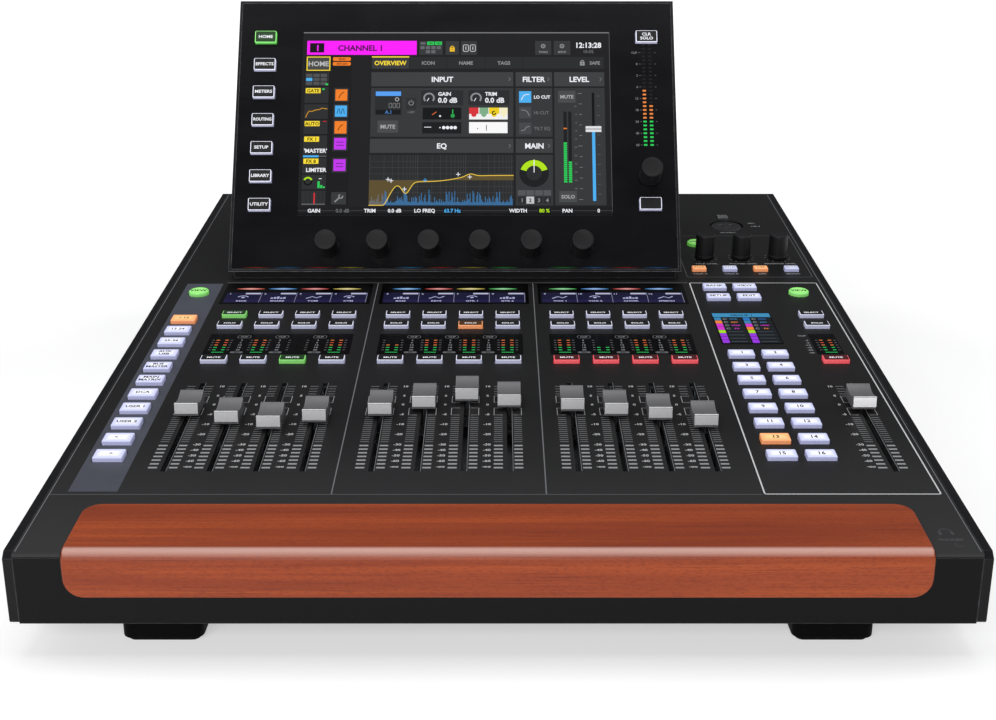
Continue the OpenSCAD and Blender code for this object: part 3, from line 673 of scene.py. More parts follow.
def fader_cap(node):
    """Dished cap standing on its stem and carriage; its front face is a paler copy of the cap grey and its
    top front chamfer white, as painted highlights, except that the main fader's front is its own white.
    """
    low, high = panel.box(node)
    cap = [p for p in panel.points(node) if p.z > 0]
    foot = min(p.z for p in cap if abs(p.x - centre(low, high)[0]) > 3)
    x0, x1, y0, y1 = low.x, high.x, min(p.y for p in cap), max(p.y for p in cap)
    mid, top, half = (y0 + y1) / 2, high.z, (y1 - y0) / 2
    skirt, dish, lean = 1.2, 2.1, 0.9
    outline = [(y0 + 0.9, foot), (y0 + 0.9, foot + skirt), (y0, foot + skirt + 0.3), (y0 + lean, top - 0.4),
               (y0 + lean + 0.4, top)]
    steps = 12
    for i in range(1, steps):
        t = i / steps
        outline.append((y0 + lean + 0.4 + (2 * half - 2 * lean - 0.4) * t,
                        top - dish * math.sin(math.pi * t)))
    outline += [(y1 - lean, top), (y1, foot + skirt + 0.3), (y1 - 0.9, foot + skirt), (y1 - 0.9, foot)]
    work = bmesh.new()
    left = [work.verts.new(panel.matrix @ Vector((x0, y, z))) for y, z in outline]
    right = [work.verts.new(panel.matrix @ Vector((x1, y, z))) for y, z in outline]
    n = len(outline)
    walls = [work.faces.new((left[i], left[(i + 1) % n], right[(i + 1) % n], right[i])) for i in range(n)]
    work.faces.new(left[::-1])
    work.faces.new(right)
    bmesh.ops.recalc_face_normals(work, faces=work.faces)
    # Painted highlights: the front face takes the paler front colour (its own white on the main fader), and
    # the thin chamfer above it is white.
    walls[2].material_index, walls[3].material_index = 1, 3
    sharp = [e for e in work.edges if e.calc_face_angle(0) > math.radians(28)]
    bmesh.ops.bevel(work, geom=sharp, offset=0.15 * MM, segments=2, affect="EDGES", profile=0.6)
    stem, carriage = (1.4, 6, -10, foot + 0.8), (8, 12, -16, -10)
    for wide, long, z_low, z_high in (stem, carriage):
        spot = Matrix.Translation(((x0 + x1) / 2, mid, (z_low + z_high) / 2))
        size = Matrix.Diagonal((wide, long, z_high - z_low, 1))
        made = bmesh.ops.create_cube(work, size=1, matrix=panel.matrix @ spot @ size)
        for v in made["verts"]:
            for f in v.link_faces:
                f.material_index = 2
    mesh = bpy.data.meshes.new(node + "_cap")
    work.to_mesh(mesh)
    work.free()
    mesh.polygons.foreach_set("use_smooth", [True] * len(mesh.polygons))
    sharpen(mesh, 34)
    white = node == "main_fader"
    for m in (MATERIALS["cap"], MATERIALS["cap_white" if white else "cap_front_painted_highlight"], MATERIALS["socket"],
              MATERIALS["cap_white"]):
        mesh.materials.append(m)
    obj = place(node + "_cap", mesh)
    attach(obj, node + "_body")
    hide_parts(node)


for name in FADERS:
    fader_cap(name)

# ---- knobs -----------------------------------------------------------------------------


FLUTES, KNOB_SIDES = 24, 96


def knob(node, surface):
    """Soft-touch knob: a fluted barrel, a rounded rim, a shallow dished top and its shaft."""
    low, high = surface.box(node)
    cx, cy = centre(low, high)
    r, top = (high.x - low.x) / 2, high.z
    profile = [(2.9, low.z, 0), (2.9, 0.6, 0), (r - 0.5, 0.6, 0), (r, 1.1, 0), (r, 2.6, 0),
               (r - 0.25, 2.9, 1), (r - 0.25, top - 1.3, 1), (r - 0.35, top - 0.5, 0.4),
               (r - 0.75, top - 0.1, 0), (r - 1.2, top, 0), (r - 1.7, top - 0.12, 0),
               (r * 0.45, top - 0.3, 0)]
    rings = []
    for radius, z, groove in profile:
        ring = []
        for i in range(KNOB_SIDES):
            a = 2 * math.pi * i / KNOB_SIDES
            cut = 0.16 * groove * (0.5 + 0.5 * math.cos(FLUTES * a)) ** 3
            ring.append((cx + (radius - cut) * math.cos(a), cy + (radius - cut) * math.sin(a), z))
        rings.append(ring)
    piece = Piece(surface)
    piece.loft(rings, [BLACK] * len(rings), -0.03, BLACK)
    made = piece.make(node + "_cap", node + "_body", "knob")
    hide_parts(node)


for i in range(1, 7):
    knob(f"screen_knob_{i}", face)
knob("side_knob", face)
for i in range(1, 4):
    knob(f"monitor_knob_{i}", panel)

# ---- keys ------------------------------------------------------------------------------

KEY_FLANGE = (1.2, 1.0)


def key_caps(node, surface, colours=None, corner=0.9, bevel=0.55, plain=LAVENDER):
    """One cap for each key of a node. colours gives the keys that aren't lavender, by number."""
    piece = Piece(surface)
    found = surface.solids(node)
    for i, (low, high) in enumerate(found):
        r = corner or (high.x - low.x) / 2
        piece.slab(low, high, r, bevel, (colours or {}).get(i, plain), KEY_FLANGE)
    made = piece.make(node + "_caps", node + "_body", "key")
    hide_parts(node)
    return found


def legends(node, surface, found, words, dark=False, tints=None, size=2.2, stretch=1.15):
    """Printed tops: dark fields with lit words on channel keys, and dark words on the others."""
    ink = Piece(surface)
    lit = Piece(surface)
    for i, (low, high) in enumerate(found):
        tint = (tints or {}).get(i)
        for piece in (ink, lit):
            piece.origin, piece.base = centre(low, high), high.z + 0.06
        w, h = (high.x - low.x) / 2, (high.y - low.y) / 2
        if dark:
            ink.rect(0.5 - w, 0.5 - h, w - 0.5, h - 0.38, tint or rgb("08080b"), 0, 0.5)
        rows = words[i].split("/")
        for k, row in enumerate(rows):
            y = ((len(rows) - 1) / 2 - k) * size * 1.35 + (0.1 if dark else 0)
            tone = WHITE if dark else rgb("20222c")
            fit = min(stretch, (2 * w - 2.4) / max(glyphs(row)[2] * size, 0.1))
            (lit if dark else ink).text(row, 0, y, size, tone, stretch=fit)
    ink.make(node + "_print", node + "_body", "ink", False)
    if dark:
        lit.make(node + "_legend", node + "_body", "lit", False)


DARK_GREEN, DARK_RED, DARK_ORANGE = rgb("123a12"), rgb("4a0c12"), rgb("4a2a0c")
channel = key_caps("select_keys", panel, {0: GREEN}, bevel=0.3, plain=RIM)
legends("select_keys", panel, channel, ["SELECT"] * 13, True, {0: DARK_GREEN}, 1.9)
channel_x = [centre(*box)[0] for box in channel]
channel = key_caps("solo_keys", panel, {6: ORANGE}, bevel=0.3, plain=RIM)
legends("solo_keys", panel, channel, ["SOLO"] * 13, True, {6: DARK_ORANGE}, 1.9)
muted = {2: GREEN, 8: RED, 9: RED, 10: RED, 11: RED, 12: RED}
channel = key_caps("mute_keys", panel, muted, bevel=0.3, plain=RIM)
legends("mute_keys", panel, channel, ["MUTE"] * 13, True,
        {i: DARK_GREEN if i == 2 else DARK_RED for i in muted}, 2.0)

LAYERS = ["· >", "< ·", "USER 2", "USER 1", "DCA", "MAIN/MATRIX", "BUS/MASTER", "AUX/USB", "25-36",
          "13-24", "1-12"]
legends("layer_keys", panel, key_caps("layer_keys", panel, {10: ORANGE}), LAYERS, size=2.7, stretch=1.0)
ODD, EVEN = ([str(n) for n in range(last, 0, -2)] for last in (15, 16))
legends("assign_pads", panel, key_caps("assign_pads", panel, {1: ORANGE}),
        ODD + ["SETUP", "BANK"] + EVEN + ["EDIT", "VIEW"], size=3.1, stretch=1.0)
monitor = key_caps("monitor_keys", panel, {0: ORANGE, 2: ORANGE})
legends("monitor_keys", panel, monitor, ["TALK", "TALK", "DIM", "MONO"], size=1.9)
legends("view_keys", panel, key_caps("view_keys", panel, {0: GREEN, 1: GREEN, 2: GREEN}, 0, 1.0),
        ["VIEW"] * 3, size=3.0)

# As for the other keys, core is a painted highlight and side is painted shade.
GLOW = {"core": rgb("ffffff"), "rim": rgb("f0f0ff"), "side": rgb("b9bbd8")}
GLOW_GREEN = {"core": rgb("b8ffa0"), "rim": rgb("8cff6a"), "side": rgb("4fc437")}
MENU = ["UTILITY", "LIBRARY", "SETUP", "ROUTING", "METERS", "EFFECTS", "HOME"]


def framed_keys(node, words, green=()):
    """Keys of the screen pod: a lit rim round a dark top with a bright legend."""
    found = face.solids(node)
    tints = {i: GLOW_GREEN if i in green else GLOW for i in range(len(found))}
    key_caps(node, face, tints, bevel=0.3)
    legends(node, face, found, words, True, {i: DARK_GREEN for i in green}, 2.3)


framed_keys("menu_keys", MENU, (6,))
framed_keys("screen_side_keys", ["", "CLR/SOLO"])

# ---- printed lines and words on the panel ----------------------------------------------

SCALE = {"10": 184.3, "5": 171.6, "0": 159.8, "-5": 147.2, "-10": 134.8, "-20": 122.6, "-30": 110.4,
         "-40": 104.1, "-50": 97.8, "-60": 91.7, "-oo": 85.5}
FRONT_LINE, REAR_LINE = 56.0, 356.0


def fader_scale(ink, x, side, numbers=True):
    """Level marks either side of a slot: fine lines, coarse bars at the foot and boxes round 0 dB."""
    sides = ((x - 8.4, x - 3.7), (x + 2.4, x + 6.8))
    fine = [184.3 - 3.45 * i for i in range(4)] + [143.0 - 2.45 * i for i in range(13)]
    coarse = [109.1 - 4.15 * i for i in range(7)]
    for lines, thick, tint in ((fine, 0.6, rgb("707173")), (coarse, 1.6, PRINT)):
        for v in lines:
            for left, right in sides:
                ink.rect(left, v - thick / 2, right, v + thick / 2, tint)
    for v0, v1 in ((162.4, 171.0), (146.3, 155.3)):
        for near, far in (sides[0][::-1], sides[1]):
            ink.stroke([(near, v1), (far, v1), (far, v0), (near, v0)], 0.45, PRINT)
    for word, v in SCALE.items() if numbers else ():
        ink.text(word, x + side * 11.6, v, 2.3, rgb("b0b1b3"))
    ink.rect(x + 1.45, 80.4, x + 1.7, 189.2, rgb("77787a"))


ink = Piece(panel, base=0.02)
BANK_LINES = (-82.6, 24.0)
for x in BANK_LINES:
    ink.rect(x - 0.3, FRONT_LINE, x + 0.3, REAR_LINE, rgb("6a6b6e"))
panel_low, panel_high = panel.box("top_panel")
for x in (panel_low.x + 1.0, panel_high.x - 1.0):
    ink.rect(x - 0.2, 2.0, x + 0.2, panel_high.y - 4.0, rgb("717275"))
ink.rect(panel_low.x + 1.2, FRONT_LINE - 0.25, 131, FRONT_LINE + 0.25, rgb("55565a"))
ink.rect(-187, REAR_LINE - 0.35, 131, REAR_LINE + 0.35, rgb("5d5e61"))
ink.outline(131.9, FRONT_LINE, 220.0, REAR_LINE, 0.75, rgb("c6c7c9"), r=1.4)
ink.outline(132.0, 367.0, 220.0, 458.0, 0.45, rgb("5c5d60"), r=2.2)
for i, x in enumerate(channel_x[:12]):
    fader_scale(ink, x, 1, i % 4 < 3)
fader_scale(ink, channel_x[12], -1)
for word, v in (("CLIP", 260.5), ("-3", 253.0), ("-6", 249.2), ("-12", 245.4), ("-18", 241.6),
                ("-30", 237.8), ("-60", 233.6)):
    ink.text(word, 193.5, v, 1.9, PRINT, "right")
PALE = rgb("8b8c8f")
knob_box = [panel.box(f"monitor_knob_{i}") for i in (1, 2, 3)]
for words, boxes, drop in ((("TALK A", "TALK B", "DIM", "MONO"), monitor, 4.4),
                           (("TALK LEVEL", "PHONES LEVEL", "MONITOR LEVEL"), knob_box, 6.0)):
    for word, (low, high) in zip(words, boxes):
        ink.text(word, centre(low, high)[0], low.y - drop, 2.2, PALE)
talk_x, talk_v = centre(*panel.box("talkback_socket"))
for word, x, v in (("TALKBACK", 0, -17.5), ("PUSH", 0, 25.5), ("MIC", 20, 5), ("+48 V", 22, -2.5)):
    ink.text(word, talk_x + x, talk_v + v, 2.2, PALE)
for low, high in knob_box:
    cx, cy = centre(low, high)
    for i in range(11):
        a = math.radians(240 - 30 * i)
        ink.stroke([(cx + r * math.cos(a), cy + r * math.sin(a)) for r in (8.2, 9.6)], 0.4, PRINT)


def headphones(piece, x, y, r, tint):
    """A small headphones sign."""
    piece.arc(x, y, r - 0.5, r, 0, 180, tint)
    for s in (-1, 1):
        piece.rect(x + s * (r - 0.9), y - r * 0.75, x + s * (r + 0.35), y + 0.1, tint, r=0.4)


FAINT = rgb("434447")
headphones(ink, 211.0, 19.5, 3.2, FAINT)
ink.text("PHONES", 211.5, 12.6, 2.2, FAINT)
ink.stroke([(212.5, 9.6), (212.5, 6.8), (216, 6.8)], 0.4, FAINT)
ink.make("panel_print", CONSOLE, "ink", False)

# ---- channel displays ------------------------------------------------------------------

windows = panel.solids("channel_windows")
CELLS = 4
BAR_TINTS = [["e2552f", "2f8fe0", "d6382f", "d9c23c"], ["2f9ce6", "d6382f", "d9c23c", "2fc24a"],
             ["2fc24a", "2f8fe0", "d6382f", "2f8fe0"]]
NAMES = ["KICK", "SNARE", "TOM", "CYM", "BASS", "KEYS", "GTR 1", "GTR 2", "VOX 1", "VOX 2", "CHOIR", "SPEECH"]


def bright(tint, share):
    return tuple(a + (1 - a) * share for a in tint[:3]) + (1,)


def dim(tint, share):
    return tuple(c * share for c in tint[:3]) + (1,)


def channel_display(piece, low, high, bank):
    """Four colour bars over a strip of four named cells."""
    cx, cy = centre(low, high)
    cell = 23.75
    x0, y0, y1 = cx - 2 * cell, cy - 16.6, cy + 1.2
    piece.rect(x0 - 0.4, y0 - 0.4, x0 + 4 * cell + 0.4, y1 + 0.4, rgb("15152c"), 0)
    for i in range(CELLS):
        left = x0 + i * cell
        mid = left + cell / 2
        core = rgb(BAR_TINTS[bank][i])
        bar = cx + 21.85 * (i - 1.5)
        piece.glow(bar, cy + 8.6, 19.4, 3.4, bright(core, 0.45), dim(core, 0.7), 1)
        piece.rect(left + 0.3, y0, left + cell - 0.5, y1, rgb("1a1936"), 1)
        piece.rect(left + 0.3, y0, left + cell - 0.5, y0 + 5.0, rgb("201e44"), 2)
        piece.rect(left + cell - 0.35, y0, left + cell, y1, rgb("8e8fae"), 2)
        piece.rect(left + 12.6, y1 - 3.0, left + cell - 0.8, y1 - 0.4, rgb("b9bad6"), 3)
        piece.text(str(4 * bank + i + 1), left + 2.2, y1 - 2.2, 2.2, rgb("b9bad6"), level=3)
        piece.text(NAMES[4 * bank + i], mid, y0 + 2.5, 2.2, rgb("c4c5ea"), level=4, stretch=1.05)
        sign = bank + i
        tint = rgb("aeb0d8")
        if sign % 3 == 0:
            piece.arc(mid, y0 + 8.4, 3.0, 4.0, 20, 160, tint, 3)
            piece.disc(mid, y0 + 8.8, 1.3, tint, 3)
        elif sign % 3 == 1:
            for k in range(5):
                foot = mid - 5 + 2.1 * k
                piece.rect(foot, y0 + 6.4, foot + 1.6, y0 + 8.6 + 0.9 * (k % 3), tint, 3)
        else:
            wave = ((-5, 7), (-1, 10.5), (2, 8), (5, 11))
            piece.stroke([(mid + dx, y0 + dy) for dx, dy in wave], 1.1, tint, 3)


piece = Piece(panel, base=panel.box("channel_windows")[1].z + 0.02)
for bank, (low, high) in enumerate(windows):
    channel_display(piece, low, high, bank)
piece.make("channel_display_image", CONSOLE, "display", False)

# ---- level meters ----------------------------------------------------------------------

METER_ROWS = [253.0, 249.2, 245.4, 241.6, 237.8]
OVER, HOT, SAFE, OFF = rgb("f08a45"), rgb("e35a3c"), rgb("35d06a"), rgb("17181a")
METER_TINTS = (OVER, HOT, OVER, SAFE, SAFE)


def meter(piece, x, lit, labels=False):
    """Two columns of segments over one bar, and the scale that stands beside them."""
    for dx in (-3.0, 2.4):
        for k, v in enumerate(METER_ROWS):
            piece.rect(x + dx - 1.05, v - 0.45, x + dx + 1.05, v + 0.45, METER_TINTS[k] if lit(k) else OFF)
        for k in (1, 2):
            v = METER_ROWS[0] + 3.8 * k
            piece.rect(x + dx - 1.05, v - 0.5, x + dx + 1.05, v + 0.5, OFF)
    piece.rect(x - 4.0, 233.7, x + 3.4, 234.4, SAFE if lit(5) else OFF)
    for v in METER_ROWS:
        for left in (-6.6, 4.7):
            piece.rect(x + left, v - 0.25, x + left + 1.5, v + 0.25, rgb("77787b"))
    if labels:
        for word, v in zip(("3", "6", "12", "18", "30"), METER_ROWS):
            piece.text(word, x + 11.6, v, 1.9, rgb("85868a"))
        piece.outline(x + 8.2, 256.2, x + 16.6, 260.8, 0.35, rgb("6e6f73"), r=1.6)
        piece.text("CLIP", x + 12.4, 258.5, 1.7, rgb("85868a"))
        piece.rect(x + 7.4, 232.6, x + 15.4, 235.2, rgb("5f6064"), r=1.2)
        piece.text("SIG", x + 11.4, 233.9, 1.5, BLACK, level=3)


piece = Piece(panel, base=panel.box("meter_windows")[1].z + 0.02)
ROWS_LIT = (5, 5, 0, 5, 3, 5, 5, 5, 5, 2, 5, 5)
for i, (x, rows) in enumerate(zip(channel_x, ROWS_LIT)):
    meter(piece, x, lambda k: rows and k >= 5 - rows, i % 4 < 3)
meter(piece, centre(*panel.solids("meter_windows")[-1])[0] + 1.0, lambda k: True)
piece.make("meter_image", CONSOLE, "lit", False)

# ---- preset display --------------------------------------------------------------------

low, high = panel.box("preset_display")
piece = Piece(panel, (low.x + 0.5, high.y - 0.7), True, high.z + 0.02)
wide, tall = high.x - low.x - 1.0, high.y - low.y - 1.4
piece.rect(0, 0, wide, tall, rgb("0b0c0e"), 0)
piece.rect(0, 0, wide, 6.6, rgb("3f8fbd"))
piece.text("GROUP 1", wide / 2, 3.3, 2.6, rgb("123047"))
ROWS = ["3a86b4", "f08a3a", "d63ad0", "d63ad0", "a9e22f", "9a3ae0", "9a3ae0", "9a3ae0"]
RIGHT_ROWS = ["2f78c2", "3a86b4", "d63ad0", "f08a3a", "a9e22f", "9a3ae0", "9a3ae0", "9a3ae0"]
row = (tall - 7.4) / 8
for col, rows in enumerate((ROWS, RIGHT_ROWS)):
    x = col * wide / 2
    for i, code in enumerate(rows):
        y = 7.4 + i * row
        piece.rect(x + 0.3, y, x + 4.6, y + row - 0.5, rgb(code))
        piece.rect(x + 4.9, y, x + wide / 2 - 0.4, y + row - 0.5, rgb("1e2226"))
        if i < 4:
            piece.arc(x + 7.2, y + row / 2, 0.9, 1.4, 30, 330, rgb("8f9498"), 2, 10)
            piece.text(("GTR", "KEY", "VOX", "FX")[i], x + 12.6, y + row / 2, 1.9, rgb(code), level=2)
        else:
            piece.rect(x + 6, y + row / 2 - 0.2, x + 16, y + row / 2 + 0.2, rgb("5a6670"), 2)
piece.make("preset_display_image", CONSOLE, "display", False)

# ---- touch screen ----------------------------------------------------------------------
# Millimetres from the top left corner of the visible screen.

GLASS_RIM = 2.0
low, high = face.box("touch_glass")
SCREEN_W, SCREEN_H = high.x - low.x - 2 * GLASS_RIM, high.y - low.y - 2 * GLASS_RIM
ui = Piece(face, (low.x + GLASS_RIM, high.y - GLASS_RIM), True, high.z + 0.02)

GROUND, PANE, HEAD, PANE_DARK = rgb("202022"), rgb("37383a"), rgb("3f4042"), rgb("17181a")
GREY, DIM, YELLOW, BLUE = rgb("8e8f92"), rgb("66676a"), rgb("ffe23c"), rgb("4fb2f4")
LIME, MAGENTA, AMBER, VIOLET = rgb("b4e61e"), rgb("ff20ff"), rgb("f5822a"), rgb("c53af0")
MEADOW, WELL, BUTTON, FADED = rgb("2fd05c"), rgb("2b2c2e"), rgb("4a4b4d"), rgb("a9aaac")
DEEP, LINES, CHARCOAL, SILVER = rgb("1b1b1d"), rgb("47494b"), rgb("303134"), rgb("c9cacc")

ui.rect(-1.8, -1.0, SCREEN_W + 1.8, SCREEN_H + 0.4, GROUND, 0)
# Painted highlights: a light line along the top edge of the glass rim and a dimmer one down its right edge.
ui.rect(-1.8, -1.3, SCREEN_W + 1.8, -0.7, rgb("8c8d8f"), 1)
ui.rect(SCREEN_W + 1.5, -1.0, SCREEN_W + 1.9, SCREEN_H, rgb("55565a"), 1)


def padlock(x, y, size, tint):
    ui.rect(x - size * 0.4, y, x + size * 0.4, y + size * 0.7, tint, 3, 0.2)
    ui.arc(x, y, size * 0.18, size * 0.32, 180, 360, tint, 3)
    ui.rect(x - 0.2, y + size * 0.2, x + 0.2, y + size * 0.45, PANE_DARK, 4)


def chevron(x, y):
    ui.stroke([(x - 0.7, y - 1.3), (x + 0.6, y), (x - 0.7, y + 1.3)], 0.3, GREY, 3)


# Title bar, status tiles and clock
ui.rect(1.0, 5.3, 79.9, 16.2, MAGENTA)
ui.rect(3.0, 7.1, 13.3, 14.4, rgb("191019"), 2)
ui.text("1", 8.1, 10.8, 4.6, MAGENTA, level=3)
ui.text("CHANNEL 1", 39.0, 10.8, 4.4, rgb("4b0d4b"), level=3)
ui.rect(81.7, 5.5, 98.6, 16.2, PANE)
for k, x in enumerate((87.4, 93.0)):
    ui.rect(x, 5.9, x + 5.0, 8.5, MEADOW, 2)
    ui.text("ON", x + 2.5, 7.2, 1.3, rgb("0c4a1c"), level=3)
for r in range(2):
    for c in range(4):
        if r == 0 or c in (1, 2):
            ui.rect(82.6 + 3.9 * c, 9.4 + 3.2 * r, 85.6 + 3.9 * c, 11.8 + 3.2 * r, DIM, 2, 0.3)
ui.rect(82.6, 6.4, 86.2, 8.2, DIM, 2, 0.4)
ui.rect(100.7, 5.5, 110.3, 16.2, PANE)
padlock(105.5, 10.6, 4.4, rgb("f2c22c"))
ui.rect(111.9, 5.5, 123.4, 16.2, PANE)
for x in (113.2, 118.2):
    ui.outline(x, 8.2, x + 4.2, 13.8, 0.5, SILVER, 3, 1.2)
    ui.rect(x + 1.8, 9.8, x + 2.4, 12.2, SILVER, 3)
for x0, x1, word in ((165.2, 176.8, "TOOLS"), (178.6, 190.5, "SETUP")):
    ui.rect(x0, 5.3, x1, 16.2, PANE)
    ui.arc((x0 + x1) / 2, 9.4, 1.0, 1.7, 0, 360, GREY, 2)
    ui.disc((x0 + x1) / 2, 9.4, 0.5, GREY, 2)
    ui.text(word, (x0 + x1) / 2, 14.0, 1.5, GREY, level=3)
ui.text("12:13:28", 203.4, 8.6, 4.1, WHITE, level=3, stretch=0.98)
ui.text("10-02", 203.4, 13.6, 2.4, DIM, level=3)

# Left-hand column: the channel's signal path
ui.rect(-0.4, 17.0, 33.4, 131.0, DEEP)
ui.rect(1.0, 17.6, 18.0, 28.6, rgb("4a4a46"), 2)
ui.outline(1.0, 17.6, 18.0, 28.6, 0.7, YELLOW, 3)
ui.text("HOME", 9.5, 23.1, 3.8, rgb("b9babc"), level=3)
for y in (18.1, 21.8):
    ui.rect(19.8, y, 32.6, y + 2.8, AMBER, 2, 0.8)
    ui.text("SEND" if y < 20 else "RETURN", 26.4, y + 1.4, 1.5, rgb("7a3204"), level=3)
TILES = [(29.9, 40.2), (41.2, 53.4), (54.5, 65.5), (66.6, 77.0), (78.2, 94.0), (95.0, 106.8), (107.8, 118.6),
         (119.6, 130.4)]
for y0, y1 in TILES:
    ui.rect(0.3, y0, 17.3, y1, rgb("2e2f31"), 2)
for c in range(3):
    for r in range(3):
        ui.rect(1.0 + 5.2 * c, 31.0 + 3.1 * r, 5.4 + 5.2 * c, 33.4 + 3.1 * r,
                BLUE if (c, r) == (0, 1) else rgb("505254"), 3, 0.3)
ui.rect(15.0, 38.4, 16.8, 39.8, MEADOW, 4)
for y, word in ((42.0, "GATE"), (67.2, "AUTO"), (79.0, "FX 1"), (95.6, "FX 8")):
    ui.rect(1.0, y, 11.6, y + 3.9, YELLOW, 3, 0.3)
    ui.text(word, 6.3, y + 1.95, 2.6, rgb("3a3000"), level=4)
ui.rect(12.8, 42.2, 14.4, 43.4, MEADOW, 3)
ui.rect(14.0, 67.2, 16.4, 67.7, RED["rim"], 3)
CURVE = [(1.5, 64.5), (2.6, 61.5), (4.0, 59.6), (6.0, 59.9), (8.0, 58.9), (11.0, 58.4), (13.0, 57.4),
         (16.8, 58.0)]
ui.stroke(CURVE, 0.5, rgb("e0a020"), 3)
ui.text("'MASTER'", 9.2, 89.6, 3.0, WHITE, level=3)
ui.rect(0.6, 93.2, 11.6, 94.6, BLUE, 3)
ui.rect(11.6, 93.6, 17.0, 94.2, DIM, 3)
ui.text("LIMITER", 10.2, 104.0, 3.0, WHITE, level=3)
ui.arc(4.6, 112.6, 2.0, 3.2, 0, 360, rgb("111214"), 3)
ui.arc(4.6, 112.6, 2.1, 3.3, 200, 340, LIME, 4)
for k, (h, w) in enumerate(((5.0, 1.6), (2.2, 1.6), (1.2, 1.4))):
    ui.rect(11.4 + 1.9 * k, 117.6 - h, 11.4 + 1.9 * k + w, 117.6, MEADOW, 3)
ui.rect(12.2, 110.4, 14.2, 110.9, WHITE, 3)
ui.rect(8.9, 121.2, 9.9, 129.4, rgb("d8303a"), 3)
for x in (3.4, 6.2, 12.4, 15.0):
    ui.rect(x, 120.4, x + 0.25, 129.4, rgb("18191b"), 3)
ui.rect(0.6, 129.2, 17.0, 130.0, DIM, 3)
SQUARES = [(43.0, 51.6, AMBER, 0), (55.4, 63.9, BLUE, 1), (67.3, 76.7, AMBER, 0), (80.0, 88.8, VIOLET, 2),
           (96.1, 104.9, VIOLET, 2)]
for y0, y1, tint, sign in SQUARES:
    ui.rect(21.2, y0 - 1.2, 32.0, y1 + 1.2, rgb("303133"), 2)
    ui.rect(22.3, y0, 30.8, y1, tint, 3)
    mid_y, ink_tint = (y0 + y1) / 2, dim(tint, 0.16)
    if sign == 0:
        steep = ((24.6, 2.4), (25.8, 0.2), (26.4, -1.0), (28.4, -2.2))
        ui.stroke([(x, mid_y + dy) for x, dy in steep], 0.6, ink_tint, 4)
    elif sign == 1:
        teeth = [(23.8 + k * 0.75, mid_y + (2.0 if k % 4 in (0, 3) else -1.8)) for k in range(8)]
        ui.stroke(teeth, 0.5, ink_tint, 4)
    else:
        for k in (-1.2, 1.2):
            ui.rect(24.0, mid_y + k - 0.25, 29.2, mid_y + k + 0.25, ink_tint, 4)
ui.rect(21.3, 120.7, 31.8, 129.8, rgb("38393b"), 2)
ui.arc(28.0, 123.8, 0.9, 1.8, -20, 250, GREY, 3)
ui.stroke([(27.0, 124.8), (23.8, 128.0)], 1.0, GREY, 3)

# Tabs
TABS = [(47.8, 74.6, "OVERVIEW"), (75.0, 101.5, "ICON"), (101.9, 128.9, "NAME"), (129.3, 156.1, "TAGS")]
for k, (x0, x1, word) in enumerate(TABS):
    ui.rect(x0, 17.8, x1, 27.0, rgb("3a3b3d") if k == 0 else WELL)
    ui.text(word, (x0 + x1) / 2, 22.5, 3.4 if k == 0 else 2.7, YELLOW if k == 0 else GREY, level=3)
ui.rect(47.8, 17.4, 74.6, 18.3, YELLOW, 2)
ui.rect(156.5, 17.8, SCREEN_W - 2.4, 27.0, WELL)
padlock(199.0, 21.6, 4.2, GREY)
ui.text("SAFE", 208.0, 22.5, 2.6, GREY, level=3)

# Headed panes
for x0, y0, x1, y1, word in ((47.7, 29.7, 149.4, 40.6, "INPUT"), (151.0, 29.7, 177.2, 40.6, "FILTER"),
                             (178.6, 29.7, 214.6, 40.6, "LEVEL"), (47.7, 80.6, 149.4, 91.3, "EQ"),
                             (151.0, 80.6, 177.2, 91.3, "MAIN")):
    ui.rect(x0, y0, x1, y1, HEAD)
    ui.text(word, (x0 + x1) / 2, (y0 + y1) / 2, 4.0, WHITE, level=3)
    chevron(x1 - 2.6, (y0 + y1) / 2)
for x0, y0, x1, y1 in ((47.7, 41.9, 149.4, 79.2), (151.0, 41.9, 177.2, 79.2), (178.6, 41.9, 214.6, 130.4),
                       (151.0, 92.8, 177.2, 130.4)):
    ui.rect(x0, y0, x1, y1, PANE)

# Input pane
ui.rect(50.6, 44.2, 69.8, 62.8, WELL, 2)
ui.rect(51.1, 44.6, 69.2, 48.0, rgb("5aa2f6"), 3)
ui.rect(51.4, 58.6, 69.0, 62.0, PANE_DARK, 3)
ui.text("A.1", 60.2, 60.3, 2.6, rgb("4a7fc0"), level=4)
ui.arc(66.4, 50.6, 1.0, 1.5, 0, 360, rgb("b9babc"), 3)
for k in range(3):
    ui.outline(60.6 + 2.8 * k, 53.4, 62.8 + 2.8 * k, 57.2, 0.3, GREY, 3, 0.6)
ui.rect(72.8, 49.4, 80.2, 58.2, rgb("2f3032"), 2)
ui.arc(76.5, 53.4, 1.4, 1.9, -60, 240, GREY, 3)
ui.rect(76.3, 51.0, 76.7, 53.0, GREY, 3)
ui.text("+48V", 76.5, 60.4, 1.8, DIM, level=3)
ui.rect(52.8, 66.8, 67.4, 76.0, BUTTON, 2)
ui.text("MUTE", 60.1, 71.4, 3.0, FADED, level=3)
for x0, x1, word in ((83.6, 113.7, "GAIN"), (117.2, 146.5, "TRIM")):
    ui.rect(x0, 43.7, x1, 55.0, WELL, 2)
    ui.arc(x0 + 5.6, 49.6, 2.9, 4.1, 140, 400, rgb("8e9093"), 3)
    ui.stroke([(x0 + 5.6, 49.6), (x0 + 4.2, 52.0)], 0.5, WHITE, 4)
    ui.text(word, x0 + 12.0, 46.4, 2.8, WHITE, "left", 3)
    ui.text("0.0 dB", x0 + 12.0, 51.2, 3.9, WHITE, "left", 3)
ui.rect(84.8, 57.0, 112.3, 66.0, rgb("141517"), 2)
ui.stroke([(91.5, 62.5), (94.6, 60.2)], 0.6, rgb("d86a3a"), 3)
ui.disc(97.2, 63.4, 0.7, WHITE, 3)
